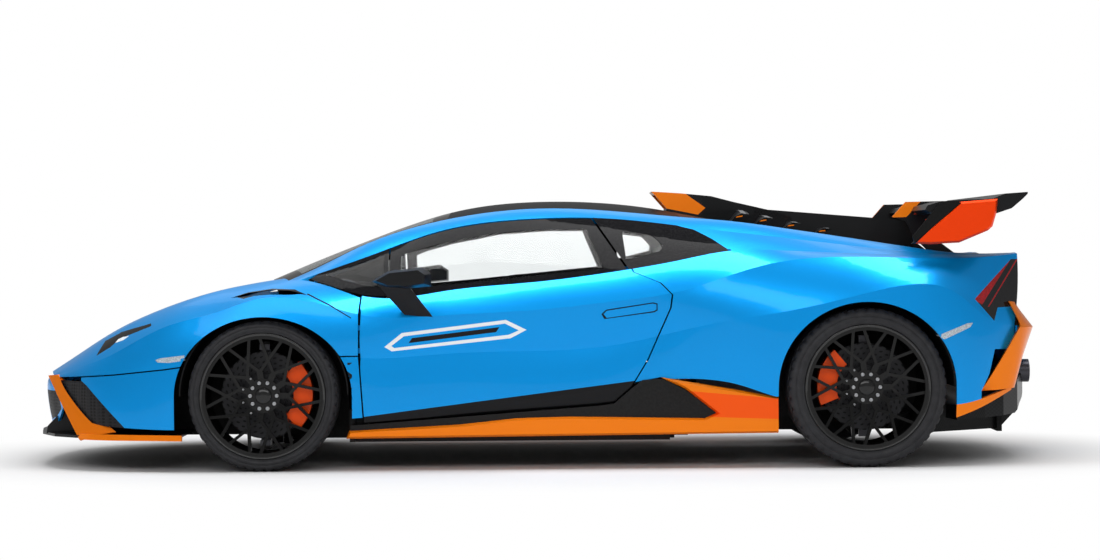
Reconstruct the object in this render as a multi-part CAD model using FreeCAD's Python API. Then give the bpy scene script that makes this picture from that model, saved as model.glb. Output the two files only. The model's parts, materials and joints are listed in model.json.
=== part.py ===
import FreeCAD, Part
import math
import os

Vector = FreeCAD.Vector

# Overall sizes of the car, in millimetres
length = 4547.0
width = 1945.0
roof_height = 1175.0
wheelbase = 2620.0
front_overhang = 1081.0

# Wheels and brakes
front_track = 1668.0
rear_track = 1620.0
front_tyre_radius = 327.5
front_tyre_width = 245.0
rear_tyre_radius = 345.5
rear_tyre_width = 305.0
bead_radius = 254.0
flange_radius = 269.0
tyre_shoulder_share = 0.125
tyre_side_share = 0.5
rim_wall = 6.0
rim_inset = 7.0
spoke_count = 11
spoke_width = 13.0
spoke_root_width = 26.0
spoke_node_radius = 105.0
spoke_tip_turn = 11.0
spoke_depth = 30.0
front_spoke_setback = 22.0
rear_spoke_setback = 30.0
spoke_dish = 22.0
spoke_sink = 6.0
hub_radius = 74.0
spoke_root_radius = 37.0
disc_radius = 190.0
disc_thickness = 32.0
disc_setback = 22.0
hat_radius = 92.0
hat_wall = 8.0
caliper_gap = 8.0
caliper_wall = 26.0
caliper_reach = 62.0
front_caliper_half_angle = 44.0
rear_caliper_half_angle = 36.0
rear_caliper_lift_angle = 14.0
hub_depth = 46.0
bore_depth = 23.0
spindle_reach = 11.5
kingpin_offset = 18.0
lug_low = 198.0
lug_height = 23.0
lug_half = 22.0
arm_gap = 1.0
arm_height = 12.0
pin_radius = 9.0
upright_thickness = 44.0
upright_gap = 9.0
spindle_radius = 26.0
running_clearance = 0.05
arch_front_height = 343.0
arch_front_half = 386.0
arch_rear_height = 372.0
arch_rear_half = 386.0
front_liner_radius = 363.0
rear_liner_radius = 380.0
liner_wall = 6.0

# Panels, gaps and glass
shut_gap = 6.0
door_gap = 7.0
lid_wall = 8.0
skin_wall = 20.0
door_wall = 68.0
rail_wall = 36.0
roof_wall = 18.0
cover_wall = 14.0
glass_wall = 5.0
glass_seat = 1.0
screen_wall = 6.0
face_wall = 10.0
plate_wall = 12.0
fin_wall = 14.0
blade_wall = 10.0
mesh_wall = 8.0
louvre_count = 5
exhaust_radius = 52.0
exhaust_wall = 4.0
steering_wheel_radius = 172.0
steering_grip_radius = 15.0
steering_column_radius = 24.0
crown_share = 0.04
low_crown_share = 0.02
crumb_share = 0.003
hinge_pin_radius = 4.0
hinge_eye_radius = 9.0
hinge_ear_width = 12.0
hinge_bracket_width = 10.0
door_hinge_radius = 3.0
door_eye_radius = 6.0
door_groove_radius = 29.6
door_eye_height = 22.0
door_arm_wall = 8.0
door_neck_reach = 27.0
door_strap_reach = 49.0
door_pocket_clearance = 1.0
bevel = 9.0
bevel_depth = 14.0
lip_wall = 14.0
rear_blade_wall = 28.0
splitter_fin_wall = 10.0

half_length = length / 2
half_width = width / 2
front_axle_x = front_overhang - half_length
rear_axle_x = front_axle_x + wheelbase
front_wheel_y = front_track / 2
rear_wheel_y = rear_track / 2
far = length
blade_stations = (0, 1, 2, 3)
lip_stations = (0, 1, 2, 3, 4)
rear_blade_stations = (0, 1, 2, 3, 4, 5)
stay_depth = 160.0
cowl_depth = 260.0
cowl_drop = 10.0
lamp_in_share = 0.4
vent_in_share = 0.6667
louvre_top_share = 1.2
below_share = -1.0
rear_link_height = 95.0
end_plate_wall = 22.0
door_arm_depth = 34.0
door_arm_in_share = 0.84
diffuser_fin_shares = (-0.55, -0.36, -0.12, 0.11, 0.35, 0.54)
exhaust_share = (0.93, -0.35, 0.33)
exhaust_length = 110.0
deck_depth = 120.0
hinge_share = (-0.97295, 0.31404)
hinge_y_share = 0.12
splitter_low_share = 0.122
cowl_low_share = 0.5957
cowl_high_share = 0.8
scoop_half_share = 0.16
scoop_mouth_half_share = 0.125
louvre_start_share = 0.40
louvre_pitch_share = 0.055
louvre_slot_share = 0.02
louvre_half_share = 0.42
louvre_clear_share = 0.18
wing_half_share = 0.9
pylon_share = 0.42
sill_out_share = 0.955
sill_in_share = 0.8483
liner_in_share = 0.56
liner_low_share = 0.17
front_liner_out_share = 0.92
rear_liner_out_share = 0.94
arm_in_share = 0.43
luggage_half_share = 0.4422
seat_share = (0.14, 0.62)
dash_half_share = 0.70
steering_share = (-0.225, -0.37, 0.56)
column_lean = 0.38
steering_column_length = 180.0
door_hinge_share = (-0.3497, -0.9383)
door_hinge_height_shares = (0.425, 0.51)
sill_panel_out_share = 0.938
sill_panel_in_share = 0.843
rear_blade_in_share = 0.46
splitter_fin_share = 0.585
grip_sides = 8

# Body feature lines, one side, from the nose to the tail:
# shares of half the length, half the width and the roof height
hood_centre_shares = [
    (-0.9787, 0, 0.3488), (-0.9237, 0, 0.4041), (-0.8357, 0, 0.4896), (-0.7170, 0, 0.5764),
    (-0.6158, 0, 0.6345), (-0.5243, 0, 0.6774), (-0.4399, 0, 0.7068), (-0.3431, 0, 0.7292),
]
hood_crease_shares = [
    (-0.9729, 0.2674, 0.3504), (-0.9193, 0.3085, 0.4109), (-0.8357, 0.3393, 0.5024),
    (-0.7170, 0.3702, 0.5934), (-0.6158, 0.3907, 0.6447), (-0.5243, 0.4113, 0.6791),
    (-0.4399, 0.4422, 0.7068), (-0.3431, 0.4936, 0.7224),
]
crest_shares = [
    (-0.9589, 0.4936, 0.3502), (-0.9096, 0.5758, 0.4073), (-0.8313, 0.6581, 0.5023),
    (-0.7170, 0.7095, 0.6036), (-0.6158, 0.7249, 0.6651), (-0.5243, 0.7321, 0.6978),
    (-0.4399, 0.7733, 0.7034), (-0.3396, 0.8617, 0.6458), (-0.1759, 0.8740, 0.6604),
    (0, 0.8761, 0.6918), (0.1539, 0.8689, 0.7287), (0.2727, 0.8483, 0.7670),
    (0.3739, 0.8175, 0.8021), (0.4838, 0.8000, 0.8005), (0.6277, 0.7897, 0.7881),
    (0.7697, 0.7558, 0.7775), (0.8665, 0.7095, 0.7761), (0.9290, 0.6581, 0.7871),
]
shoulder_shares = [
    (-0.9457, 0.5861, 0.3466), (-0.8951, 0.7095, 0.3799), (-0.8269, 0.8226, 0.4257),
    (-0.7170, 0.9100, 0.5322), (-0.6158, 0.9512, 0.5868), (-0.5243, 0.9645, 0.6400),
    (-0.4337, 0.9604, 0.6284), (-0.3426, 0.9460, 0.5777), (-0.1759, 0.9563, 0.5719),
    (0, 0.9604, 0.5897), (0.1539, 0.9584, 0.6198), (0.2727, 0.9460, 0.6538),
    (0.3607, 0.9275, 0.7061), (0.4662, 0.8987, 0.7599), (0.6277, 0.8864, 0.7754),
    (0.7829, 0.8452, 0.7671), (0.8709, 0.7835, 0.7726), (0.9325, 0.7095, 0.7828),
]
waist_shares = [
    (-0.9369, 0.6272, 0.3413), (-0.8841, 0.7661, 0.3542), (-0.8137, 0.8689, 0.3651),
    (-0.7126, 0.9409, 0.3823), (-0.6158, 0.9851, 0.4353), (-0.5243, 0.9954, 0.4680),
    (-0.4337, 0.9851, 0.4497), (-0.3431, 0.9522, 0.4177), (-0.1759, 0.9275, 0.4289),
    (0, 0.9172, 0.4365), (0.1539, 0.9193, 0.4581), (0.2727, 0.9357, 0.5074),
    (0.3739, 0.9584, 0.5467), (0.4838, 0.9841, 0.5809), (0.6277, 0.9995, 0.6434),
    (0.7829, 0.9769, 0.6556), (0.8643, 0.8967, 0.5455), (0.9193, 0.8021, 0.5149),
]
edge_shares = [
    (-0.9281, 0.6581, 0.2272), (-0.8731, 0.7918, 0.1838), (-0.8093, 0.8895, 0.1641),
    (-0.7126, 0.9512, 0.1559), (-0.6158, 0.9789, 0.1587), (-0.5243, 0.9851, 0.1659),
    (-0.4337, 0.9728, 0.1816), (-0.3352, 0.9522, 0.1963), (-0.1759, 0.9337, 0.2263),
    (0, 0.9285, 0.2629), (0.1539, 0.9285, 0.3049), (0.2727, 0.9306, 0.3304),
    (0.3739, 0.9409, 0.3119), (0.4662, 0.9686, 0.2577), (0.6277, 0.9851, 0.2468),
    (0.7829, 0.9686, 0.2275), (0.8577, 0.8946, 0.2520), (0.9149, 0.7815, 0.2852),
]
roof_centre_shares = [
    (-0.5388, 0, 0.7014), (-0.4662, 0, 0.7600), (-0.3519, 0, 0.8459), (-0.1759, 0, 0.9599),
    (0, 0, 0.9999), (0.1539, 0, 0.9900), (0.2727, 0, 0.9567), (0.3739, 0, 0.9127),
    (0.4838, 0, 0.8651), (0.6277, 0, 0.8128), (0.7697, 0, 0.7792), (0.8665, 0, 0.7608),
    (0.9699, 0, 0.7507),
]
rail_top_shares = [
    (-0.4882, 0.6632, 0.6990), (-0.4333, 0.6396, 0.7459), (-0.3431, 0.5943, 0.8313),
    (-0.1759, 0.5429, 0.9293), (0, 0.5203, 0.9676), (0.1539, 0.5265, 0.9551),
    (0.2815, 0.5635, 0.9311), (0.3783, 0.5943, 0.9143), (0.4838, 0.5964, 0.8856),
    (0.6277, 0.5820, 0.8426), (0.7697, 0.5614, 0.7997), (0.8621, 0.5501, 0.7830),
    (0.9378, 0.5450, 0.7836),
]
rail_base_shares = [
    (-0.4728, 0.7558, 0.6954), (-0.4223, 0.7424, 0.7287), (-0.3277, 0.6951, 0.7920),
    (-0.1759, 0.6427, 0.8910), (0, 0.6180, 0.9293), (0.1539, 0.6211, 0.9253),
    (0.2815, 0.6540, 0.8970), (0.3739, 0.6869, 0.8736), (0.4838, 0.6910, 0.8481),
    (0.6277, 0.6828, 0.8137), (0.7697, 0.6581, 0.7860), (0.8643, 0.6293, 0.7795),
    (0.9325, 0.6067, 0.7853),
]

lamp_shares = [
    (0.3085, 0.7166), (0.7095, 0.7234), (0.7198, 0.6936), (0.6787, 0.6553), (0.4936, 0.6451),
    (0.3085, 0.6723),
]
rear_grille_shares = [
    (-0.2776, 0.7234), (0.2776, 0.7234), (0.4833, 0.6213), (0.6375, 0.6298), (0.6581, 0.5532),
    (-0.6581, 0.5532), (-0.6375, 0.6298), (-0.4833, 0.6213),
]
diffuser_fin_outline_shares = [
    (0.7477, 0.1021), (0.9061, 0.1191), (0.9369, 0.1830), (0.9413, 0.2043), (0.7477, 0.1617),
]
scoop_plan_shares = [
    (0.2199, 0), (0.2199, -0.1440), (0.2727, -0.1625), (0.3343, -0.1542), (0.4399, -0.0977),
    (0.5190, -0.0206), (0.5190, 0),
]
scoop_mouth_shares = [
    (0.2111, 0.9753), (0.2111, 1.0264), (0.3431, 1.0145), (0.3431, 0.9600),
]

# Lines of the nose and tail, from one side to the other, and of the rear blades
face_top_shares = [
    (-0.9369, -0.6272, 0.3311), (-0.9466, -0.5758, 0.3338), (-0.9598, -0.4833, 0.3357),
    (-0.9729, -0.2674, 0.3359), (-0.9773, 0, 0.3351), (-0.9729, 0.2674, 0.3359),
    (-0.9598, 0.4833, 0.3357), (-0.9466, 0.5758, 0.3338), (-0.9369, 0.6272, 0.3311),
]
face_mid_shares = [
    (-0.9347, -0.6427, 0.2954), (-0.9501, -0.5758, 0.2956), (-0.9699, -0.4833, 0.2959),
    (-0.9853, -0.2674, 0.2918), (-0.9897, 0, 0.2894), (-0.9853, 0.2674, 0.2918),
    (-0.9699, 0.4833, 0.2959), (-0.9501, 0.5758, 0.2956), (-0.9347, 0.6427, 0.2954),
]
face_low_shares = [
    (-0.9281, -0.6581, 0.2272), (-0.9413, -0.5913, 0.1763), (-0.9567, -0.4936, 0.1425),
    (-0.9743, -0.2725, 0.1351), (-0.9800, 0, 0.1343), (-0.9743, 0.2725, 0.1351),
    (-0.9567, 0.4936, 0.1425), (-0.9413, 0.5913, 0.1763), (-0.9281, 0.6581, 0.2272),
]
grille_shares = [
    (-0.3085, 0.2979), (-0.4010, 0.2085), (-0.3393, 0.1617), (0.3393, 0.1617), (0.4010, 0.2085),
    (0.3085, 0.2979),
]
side_mouth_shares = [
    (0.4422, 0.2894), (0.6170, 0.2894), (0.6396, 0.2230), (0.5758, 0.1915), (0.4833, 0.1745),
    (0.4370, 0.2043),
]
rocker_shares = [
    (-0.3352, 0.9398, 0.1668), (-0.1759, 0.9183, 0.1889), (0, 0.9131, 0.2162),
    (0.1539, 0.9131, 0.2426), (0.2727, 0.9152, 0.2553), (0.3739, 0.9203, 0.2553),
]
tail_top_shares = [
    (0.9281, -0.7013, 0.7573), (0.9364, -0.6170, 0.7632), (0.9448, -0.4936, 0.7647),
    (0.9615, -0.2571, 0.7568), (0.9734, 0, 0.7524), (0.9615, 0.2571, 0.7568),
    (0.9448, 0.4936, 0.7647), (0.9364, 0.6170, 0.7632), (0.9281, 0.7013, 0.7573),
]
tail_mid_shares = [
    (0.9202, -0.7558, 0.6340), (0.9184, -0.6581, 0.6358), (0.9206, -0.5141, 0.6374),
    (0.9360, -0.2674, 0.6338), (0.9536, 0, 0.6318), (0.9360, 0.2674, 0.6338),
    (0.9206, 0.5141, 0.6374), (0.9184, 0.6581, 0.6358), (0.9202, 0.7558, 0.6340),
]
tail_low_shares = [
    (0.9246, -0.7979, 0.5148), (0.9523, -0.6992, 0.5076), (0.9655, -0.5553, 0.5040),
    (0.9853, -0.2879, 0.5003), (1.0000, 0, 0.4984), (0.9853, 0.2879, 0.5003),
    (0.9655, 0.5553, 0.5040), (0.9523, 0.6992, 0.5076), (0.9246, 0.7979, 0.5148),
]
rear_mid_shares = [
    (0.9228, -0.7877, 0.4127), (0.9373, -0.6992, 0.4040), (0.9474, -0.5553, 0.4004),
    (0.9668, -0.2879, 0.3968), (0.9853, 0, 0.3948), (0.9668, 0.2879, 0.3968),
    (0.9474, 0.5553, 0.4004), (0.9373, 0.6992, 0.4040), (0.9228, 0.7877, 0.4127),
]
rear_low_shares = [
    (0.9140, -0.7692, 0.2852), (0.9171, -0.6889, 0.2783), (0.9219, -0.5553, 0.2749),
    (0.9413, -0.2776, 0.2720), (0.9589, 0, 0.2709), (0.9413, 0.2776, 0.2720),
    (0.9219, 0.5553, 0.2749), (0.9171, 0.6889, 0.2783), (0.9140, 0.7692, 0.2852),
]
blade_low_shares = [
    (0.8467, -0.8596, 0.2734), (0.8841, -0.8391, 0.2771), (0.9166, -0.7835, 0.2809),
    (0.9237, -0.7095, 0.2808), (0.9281, -0.5820, 0.2807), (0.9360, -0.4422, 0.2806),
]
blade_mid_shares = [
    (0.8489, -0.9203, 0.3968), (0.8841, -0.8761, 0.3963), (0.9254, -0.8103, 0.3957),
    (0.9422, -0.7157, 0.4005), (0.9527, -0.5717, 0.4004), (0.9606, -0.4422, 0.4002),
]
blade_ridge_shares = [
    (0.8480, -0.9306, 0.5091), (0.8841, -0.8884, 0.5086), (0.9272, -0.8247, 0.5080),
    (0.9580, -0.7198, 0.5075), (0.9716, -0.5758, 0.5048), (0.9782, -0.4422, 0.5030),
]
blade_rise_shares = [
    (0.8472, -0.9254, 0.5670), (0.8837, -0.8823, 0.5665), (0.9202, -0.8226, 0.5659),
    (0.9369, -0.7321, 0.5657), (0.9457, -0.5964, 0.5656), (0.9501, -0.4422, 0.5655),
]
blade_high_shares = [
    (0.8467, -0.9152, 0.6096), (0.8832, -0.8710, 0.6090), (0.9140, -0.8144, 0.6086),
    (0.9237, -0.7424, 0.6085), (0.9246, -0.6211, 0.6084), (0.9281, -0.4422, 0.6084),
]
face_stations = (-4, -3, -2, -1, 0, 1, 2, 3, 4)

# Where along the car the feature lines have their points
station_shares = (
    -0.96, -0.91, -0.83, -0.72, -0.616, -0.524, -0.44, -0.344, -0.176,
    0, 0.154, 0.273, 0.37, 0.48, 0.628, 0.77, 0.866, 0.93,
)
screen_station = -0.49
nose_station = station_shares[0]
face_start = face_stations[0]
face_end = face_stations[-1]
mouth_station = station_shares[3]
stay_station = station_shares[14]
strip_station = station_shares[15]
door_front_station = station_shares[7]
roof_front_station = station_shares[8]
door_mid_station = station_shares[10]
roof_rear_station = station_shares[11]
pillar_station = station_shares[12]
tail_station = station_shares[17]

# Side outlines cut through the panels: shares of half the length and the roof height
lid_split_shares = [
    (-1.0556, 0.3380), (-0.9360, 0.3430), (-0.8137, 0.3600), (-0.7126, 0.3806), (-0.6598, 0.3951),
    (-0.5234, 0.4170), (-0.3959, 0.4253), (-0.3079, 0.4257),
]
door_outline_shares = [
    (-0.3352, 0.7716), (-0.3365, 0.6457), (-0.3396, 0.5777), (-0.3400, 0.4177), (-0.3321, 0.1963),
    (-0.3321, 0.1776), (0.1161, 0.2390), (0.1447, 0.2463), (0.1781, 0.3045), (0.2089, 0.4019),
    (0.2344, 0.5122), (0.2529, 0.5928), (0.2564, 0.6412), (0.2344, 0.6850), (0.1834, 0.7257),
    (0.1737, 0.7642),
]
door_glass_shares = [
    (-0.2850, 0.6007), (-0.2850, 1.1113), (0.0528, 1.1064), (0.1056, 0.9269), (0.1742, 0.7284),
    (0.1742, 0.5939),
]
front_glass_shares = [
    (-0.4530, 0.6032), (-0.4530, 1.1138), (-0.2885, 1.1114), (-0.2885, 0.6007),
]
rear_glass_shares = [
    (0.1790, 0.5939), (0.1790, 0.7283), (0.1104, 0.9268), (0.0576, 1.1063), (0.2551, 1.1034),
    (0.2551, 0.9076), (0.3053, 0.8822), (0.3387, 0.8468), (0.3677, 0.8073), (0.3677, 0.5911),
]
rear_sail_shares = [
    (0.2551, 1.1034), (0.2551, 0.9076), (0.3053, 0.8822), (0.3387, 0.8468), (0.3677, 0.8073),
    (0.3959, 0.8069), (0.3959, 1.1013),
]
headlamp_shares = [
    (-0.8973, 0.3884), (-0.8951, 0.4395), (-0.8687, 0.4901), (-0.8269, 0.5321), (-0.7477, 0.5564),
    (-0.7433, 0.5376), (-0.8093, 0.4893), (-0.8379, 0.4386), (-0.8445, 0.3876),
]
sill_shares = [
    (-0.3664, 0.1183), (-0.3611, 0.1472), (-0.1517, 0.1677), (-0.0400, 0.1898), (0.0607, 0.1940),
    (0.3176, 0.1847), (0.3400, 0.2034), (0.2815, 0.2928), (0.2340, 0.3370), (0.4517, 0.2630),
    (0.4618, 0.2630), (0.4654, 0.1285),
]
quarter_low_shares = [
    (0.0660, 0.0426), (0.0660, 0.2809), (0.1781, 0.3166), (0.2340, 0.3370), (0.4517, 0.2630),
    (0.4618, 0.2630), (0.4926, 0.2630), (0.4926, 0.0426),
]
sill_panel_shares = [
    (-0.3585, 0.1277), (-0.3585, 0.1668), (-0.3330, 0.1694), (0.1152, 0.2323), (0.1452, 0.2400),
    (0.1812, 0.2996), (0.2001, 0.3268), (0.2397, 0.3302), (0.2815, 0.2894), (0.3400, 0.2034),
    (0.3519, 0.1915), (0.3519, 0.1277),
]
mirror_root_shares = [
    (-0.3079, 0.7030), (-0.2815, 0.7302), (-0.2199, 0.7421), (-0.2032, 0.7234), (-0.2032, 0.6860),
    (-0.2463, 0.6791), (-0.2815, 0.6843),
]
mirror_head_shares = [
    (-0.3132, 0.6996), (-0.2815, 0.7370), (-0.2173, 0.7506), (-0.2001, 0.7260), (-0.2001, 0.6809),
    (-0.2463, 0.6723), (-0.2859, 0.6791),
]
mirror_tip_shares = [
    (-0.3035, 0.7030), (-0.2771, 0.7302), (-0.2243, 0.7404), (-0.2111, 0.7234), (-0.2111, 0.6911),
    (-0.2463, 0.6826), (-0.2815, 0.6860),
]
mirror_foot_share = [
    (-0.2538, -0.9213, 0.5753), (-0.1979, -0.9213, 0.5617), (-0.1979, -0.9501, 0.5617),
    (-0.2538, -0.9501, 0.5753),
]
mirror_neck_share = [
    (-0.3035, -1.0386, 0.6911), (-0.2463, -1.0386, 0.6911), (-0.2463, -1.0694, 0.6911),
    (-0.3035, -1.0694, 0.6911),
]
mirror_y_shares = (-1.0, -1.06, -1.15)
wing_shares = [
    (0.7433, 0.9481), (0.7486, 0.9651), (0.7741, 0.9792), (0.8269, 0.9852), (0.8700, 0.9854),
    (0.8674, 0.9718), (0.8269, 0.9571), (0.7873, 0.9407), (0.7565, 0.9343),
]
flap_shares = [
    (0.8810, 0.9333), (0.8744, 0.9887), (0.8977, 1.0063), (0.9404, 1.0116), (0.9404, 1.0048),
    (0.9303, 0.9854), (0.9096, 0.9516),
]
end_plate_shares = [
    (0.7161, 0.8234), (0.8102, 0.9761), (0.8823, 0.9869), (0.8793, 0.9342), (0.8718, 0.8850),
    (0.8630, 0.8698), (0.8076, 0.8255), (0.7504, 0.8204),
]
pylon_shares = [
    (0.7961, 0.7550), (0.8335, 0.7545), (0.8296, 0.7852), (0.7917, 0.8402), (0.7706, 0.8933),
    (0.7706, 0.9171), (0.8102, 0.9335), (0.8102, 0.9863), (0.7319, 0.9840), (0.7055, 0.9266),
    (0.7324, 0.9108), (0.7477, 0.8493),
]
fin_shares = [
    (0.3959, 0.9141), (0.4399, 0.9671), (0.4803, 0.9614), (0.7966, 0.9099), (0.7640, 0.7980),
    (0.6598, 0.7825), (0.3959, 0.8460),
]
scoop_shares = [
    (0.2613, 0.9705), (0.2314, 1.0357), (0.2894, 1.0280), (0.3528, 1.0160), (0.3985, 0.9932),
    (0.4750, 0.9597), (0.5278, 0.9292), (0.5278, 0.8270), (0.2613, 0.9161),
]
splitter_shares = [
    (-1.0000, 0), (-0.9967, 0.2674), (-0.9787, 0.5141), (-0.9413, 0.6992), (-0.8929, 0.8062),
    (-0.8489, 0.8617), (-0.8049, 0.8997), (-0.7477, 0.9347), (-0.6862, 0.9584), (-0.6862, 0),
]
splitter_fin_shares = [
    (-0.9664, 0.1277), (-0.9633, 0.1574), (-0.9290, 0.2255), (-0.9043, 0.1336), (-0.9043, 0.1277),
]
diffuser_shares = [
    (0.6862, 0.1277), (0.7829, 0.1600), (0.9303, 0.1813), (0.9488, 0.2128), (0.9633, 0.2281),
    (0.9813, 0.2936), (0.9699, 0.3217), (0.9457, 0.3132), (0.8797, 0.2638), (0.7829, 0.2043),
    (0.6862, 0.1702),
]
diffuser_plan_shares = [
    (0.6862, 0), (0.6862, -0.6067), (0.7983, -0.6067), (0.8071, -0.8082), (0.8621, -0.7979),
    (0.9017, -0.7424), (0.9369, -0.6272), (0.9677, -0.3393), (0.9787, 0),
]
side_mouth_cut_shares = [
    (-1.0556, 0.5269), (-1.0556, 0.0163), (-0.7895, 0.0124), (-0.7895, 0.1570), (-0.8713, 0.3157),
    (-0.8841, 0.3338), (-0.8841, 0.5244),
]
side_mesh_shares = [
    (-0.9457, 0.3313), (-0.9457, 0.0487), (-0.7829, 0.0463), (-0.7829, 0.1570), (-0.8647, 0.3216),
    (-0.8731, 0.3302),
]
fender_vent_shares = [
    (-0.5894, 0.6401), (-0.5542, 0.6591), (-0.5120, 0.6704), (-0.4750, 0.6673), (-0.4425, 0.6541),
    (-0.4750, 0.6511), (-0.5120, 0.6525), (-0.5542, 0.6464),
]
lamp_side_shares = [
    (0.9188, 0.7626), (0.8362, 0.6165), (0.8757, 0.5343), (0.8841, 0.5835), (0.9413, 0.5878),
    (0.9413, 0.7622),
]
bumper_side_shares = [
    (0.8757, 0.5343), (0.8841, 0.5835), (0.9413, 0.5878), (0.9413, 0.4286), (0.8766, 0.4296),
]
tail_cut_shares = [
    (0.9188, 0.7626), (0.8362, 0.6165), (0.8757, 0.5343), (0.8766, 0.4296), (0.8647, 0.3387),
    (0.8480, 0.2759), (0.8480, 0.1585), (0.9677, 0.1567), (0.9677, 0.7618),
]
rear_blade_shares = [
    (0.9070, 0.6061), (0.9237, 0.6025), (0.9677, 0.5125), (1.0117, 0.4965), (1.0117, 0.1986),
    (0.8511, 0.2010), (0.8511, 0.2759), (0.9307, 0.5147), (0.9272, 0.5318),
]
strip_low_shares = [
    (0.7829, 0.9512, 0.1702), (0.8577, 0.8864, 0.2230), (0.9149, 0.7733, 0.2740),
]
rear_stay_share = (0.9017, 1.0117, 0.3393, 0.3805, 0.3574, 0.5957)
quarter_stay_share = (0.8269, 0.8357, 0.7815, 1.0077, 0.4085, 0.4426)
quarter_arm_share = (0.8269, 0.8357, 0.2879, 0.8226, 0.4085, 0.4426)
blade_front_shares = [
    (-0.9633, -0.5676, 0.3468), (-0.9369, -0.6602, 0.2682), (-0.9114, -0.7424, 0.1929),
    (-0.8850, -0.8226, 0.1167),
]
blade_back_shares = [
    (-0.9413, -0.6170, 0.3516), (-0.8951, -0.7249, 0.2692), (-0.8533, -0.8072, 0.2048),
    (-0.8102, -0.8761, 0.1463),
]
lip_low_shares = [
    (-0.8850, -0.8226, 0.1167), (-0.8489, -0.8720, 0.1162), (-0.8049, -0.9090, 0.1156),
    (-0.7477, -0.9440, 0.1156), (-0.6796, -0.9686, 0.1146),
]
lip_high_shares = [
    (-0.8850, -0.8226, 0.1389), (-0.8489, -0.8699, 0.1383), (-0.8049, -0.9069, 0.1377),
    (-0.7477, -0.9429, 0.1369), (-0.6796, -0.9666, 0.1359),
]
seat_shares = [
    (-0.0968, 0.1217), (-0.1012, 0.2553), (-0.0660, 0.2809), (0.0880, 0.2230), (0.1452, 0.4255),
    (0.1935, 0.7064), (0.2331, 0.6979), (0.1935, 0.4000), (0.1452, 0.1617), (0.1100, 0.1217),
]
dash_shares = [
    (-0.4399, 0.4766), (-0.4399, 0.6596), (-0.3783, 0.6860), (-0.3035, 0.6638), (-0.2815, 0.5957),
    (-0.2903, 0.4766), (-0.3519, 0.4255),
]
lid_rear_shares = [
    (-0.5437, 0), (-0.5401, -0.2057), (-0.5256, -0.4422), (-0.4970, -0.6581), (-0.4821, -0.7692),
    (-0.4425, -0.7866), (-0.3959, -0.8226), (-0.3387, -0.8761), (-0.3079, -0.8761), (-0.3079, 0),
]

# Boxes: from and to along the car, across it, and up, as shares
floor_share = (-0.3563, 0.2639, -0.7095, 0.7095, 0.1004, 0.1217)
foot_floor_share = (-0.4442, -0.3431, -0.5553, 0.5553, 0.1004, 0.1217)
sill_box_share = (-0.3519, 0.2529, 0.7198, 0.8350, 0.1004, 0.2468)
firewall_share = (-0.4442, -0.4333, -0.5553, 0.5553, 0.1217, 0.5957)
foot_side_share = (-0.4442, -0.3519, 0.5296, 0.5553, 0.1217, 0.5957)
foot_corner_share = (-0.3629, -0.3519, 0.5296, 0.8514, 0.1004, 0.5957)
cowl_shares = [
    (-0.5375, 0), (-0.5340, 0.2057), (-0.5199, 0.4422), (-0.4918, 0.6540), (-0.4803, 0.7558),
    (-0.4574, 0.7692), (-0.4333, 0.7692), (-0.4333, 0),
]
wing_tab_share = (-0.3629, -0.3541, 0.8432, 1.0077, 0.2230, 0.4000)
bulkhead_share = (0.2529, 0.2639, -0.7095, 0.7095, 0.1004, 0.8170)
tunnel_share = (-0.4333, 0.2529, -0.1131, 0.1131, 0.1217, 0.2723)
hinge_ear_shares = [
    (-0.9729, 0.3217), (-0.9633, 0.3140), (-0.9554, 0.3234), (-0.9501, 0.3787), (-0.9413, 0.3787),
    (-0.9457, 0.3166), (-0.9589, 0.2996), (-0.9699, 0.3064), (-0.9729, 0.3064),
]
hinge_bracket_shares = [
    (-0.9765, 0.3166), (-0.9694, 0.3209), (-0.9457, 0.2809), (-0.9457, 0.2553), (-0.9589, 0.2553),
]
splitter_open_share = (-0.8625, -0.6598, -0.4432, 0.4432, 0.0851, 0.1702)
luggage_outer_shares = [
    (-0.8621, 0.1106), (-0.8621, 0.4298), (-0.7170, 0.5277), (-0.6158, 0.5532), (-0.4442, 0.5532),
    (-0.4442, 0.1106),
]
luggage_inner_shares = [
    (-0.8555, 0.1234), (-0.8555, 0.5957), (-0.4508, 0.5957), (-0.4508, 0.1234),
]
front_beam_share = (-0.9545, -0.9061, -0.5913, 0.5913, 0.2128, 0.2809)
front_rail_share = (-0.9237, -0.8577, 0.3085, 0.3496, 0.2128, 0.2809)
lower_bracket_share = (-0.5410, -0.5080, 0.3907, 0.4422, 0.0783, 0.1191)
rear_cradle_share = (0.2639, 0.9061, 0.2879, 0.3907, 0.1106, 0.1787)
rear_cross_share = (0.2639, 0.2903, -0.7095, 0.7095, 0.1106, 0.1787)
rear_tail_share = (0.8973, 0.9070, -0.6170, 0.6170, 0.1106, 0.5957)
rear_bridge_share = (0.6092, 0.6466, 0.3907, 0.5758, 0.1106, 0.2213)
engine_share = (0.3167, 0.6598, -0.2982, 0.2982, 0.1787, 0.5957)


def at(share):
    return Vector(share[0] * half_length, share[1] * half_width, share[2] * roof_height)


def mirrored(shape):
    return shape.mirror(Vector(0, 0, 0), Vector(0, 1, 0))


def both(shape):
    return [shape, mirrored(shape)]


def box(share):
    low = Vector(share[0] * half_length, share[2] * half_width, share[4] * roof_height)
    high = Vector(share[1] * half_length, share[3] * half_width, share[5] * roof_height)
    size = high - low
    return Part.makeBox(size.x, size.y, size.z, low)


def side_prism(shares, y_low, y_high):
    points = [Vector(x * half_length, y_low, z * roof_height) for x, z in shares]
    face = Part.Face(Part.makePolygon(points + [points[0]]))
    return face.extrude(Vector(0, y_high - y_low, 0))


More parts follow.
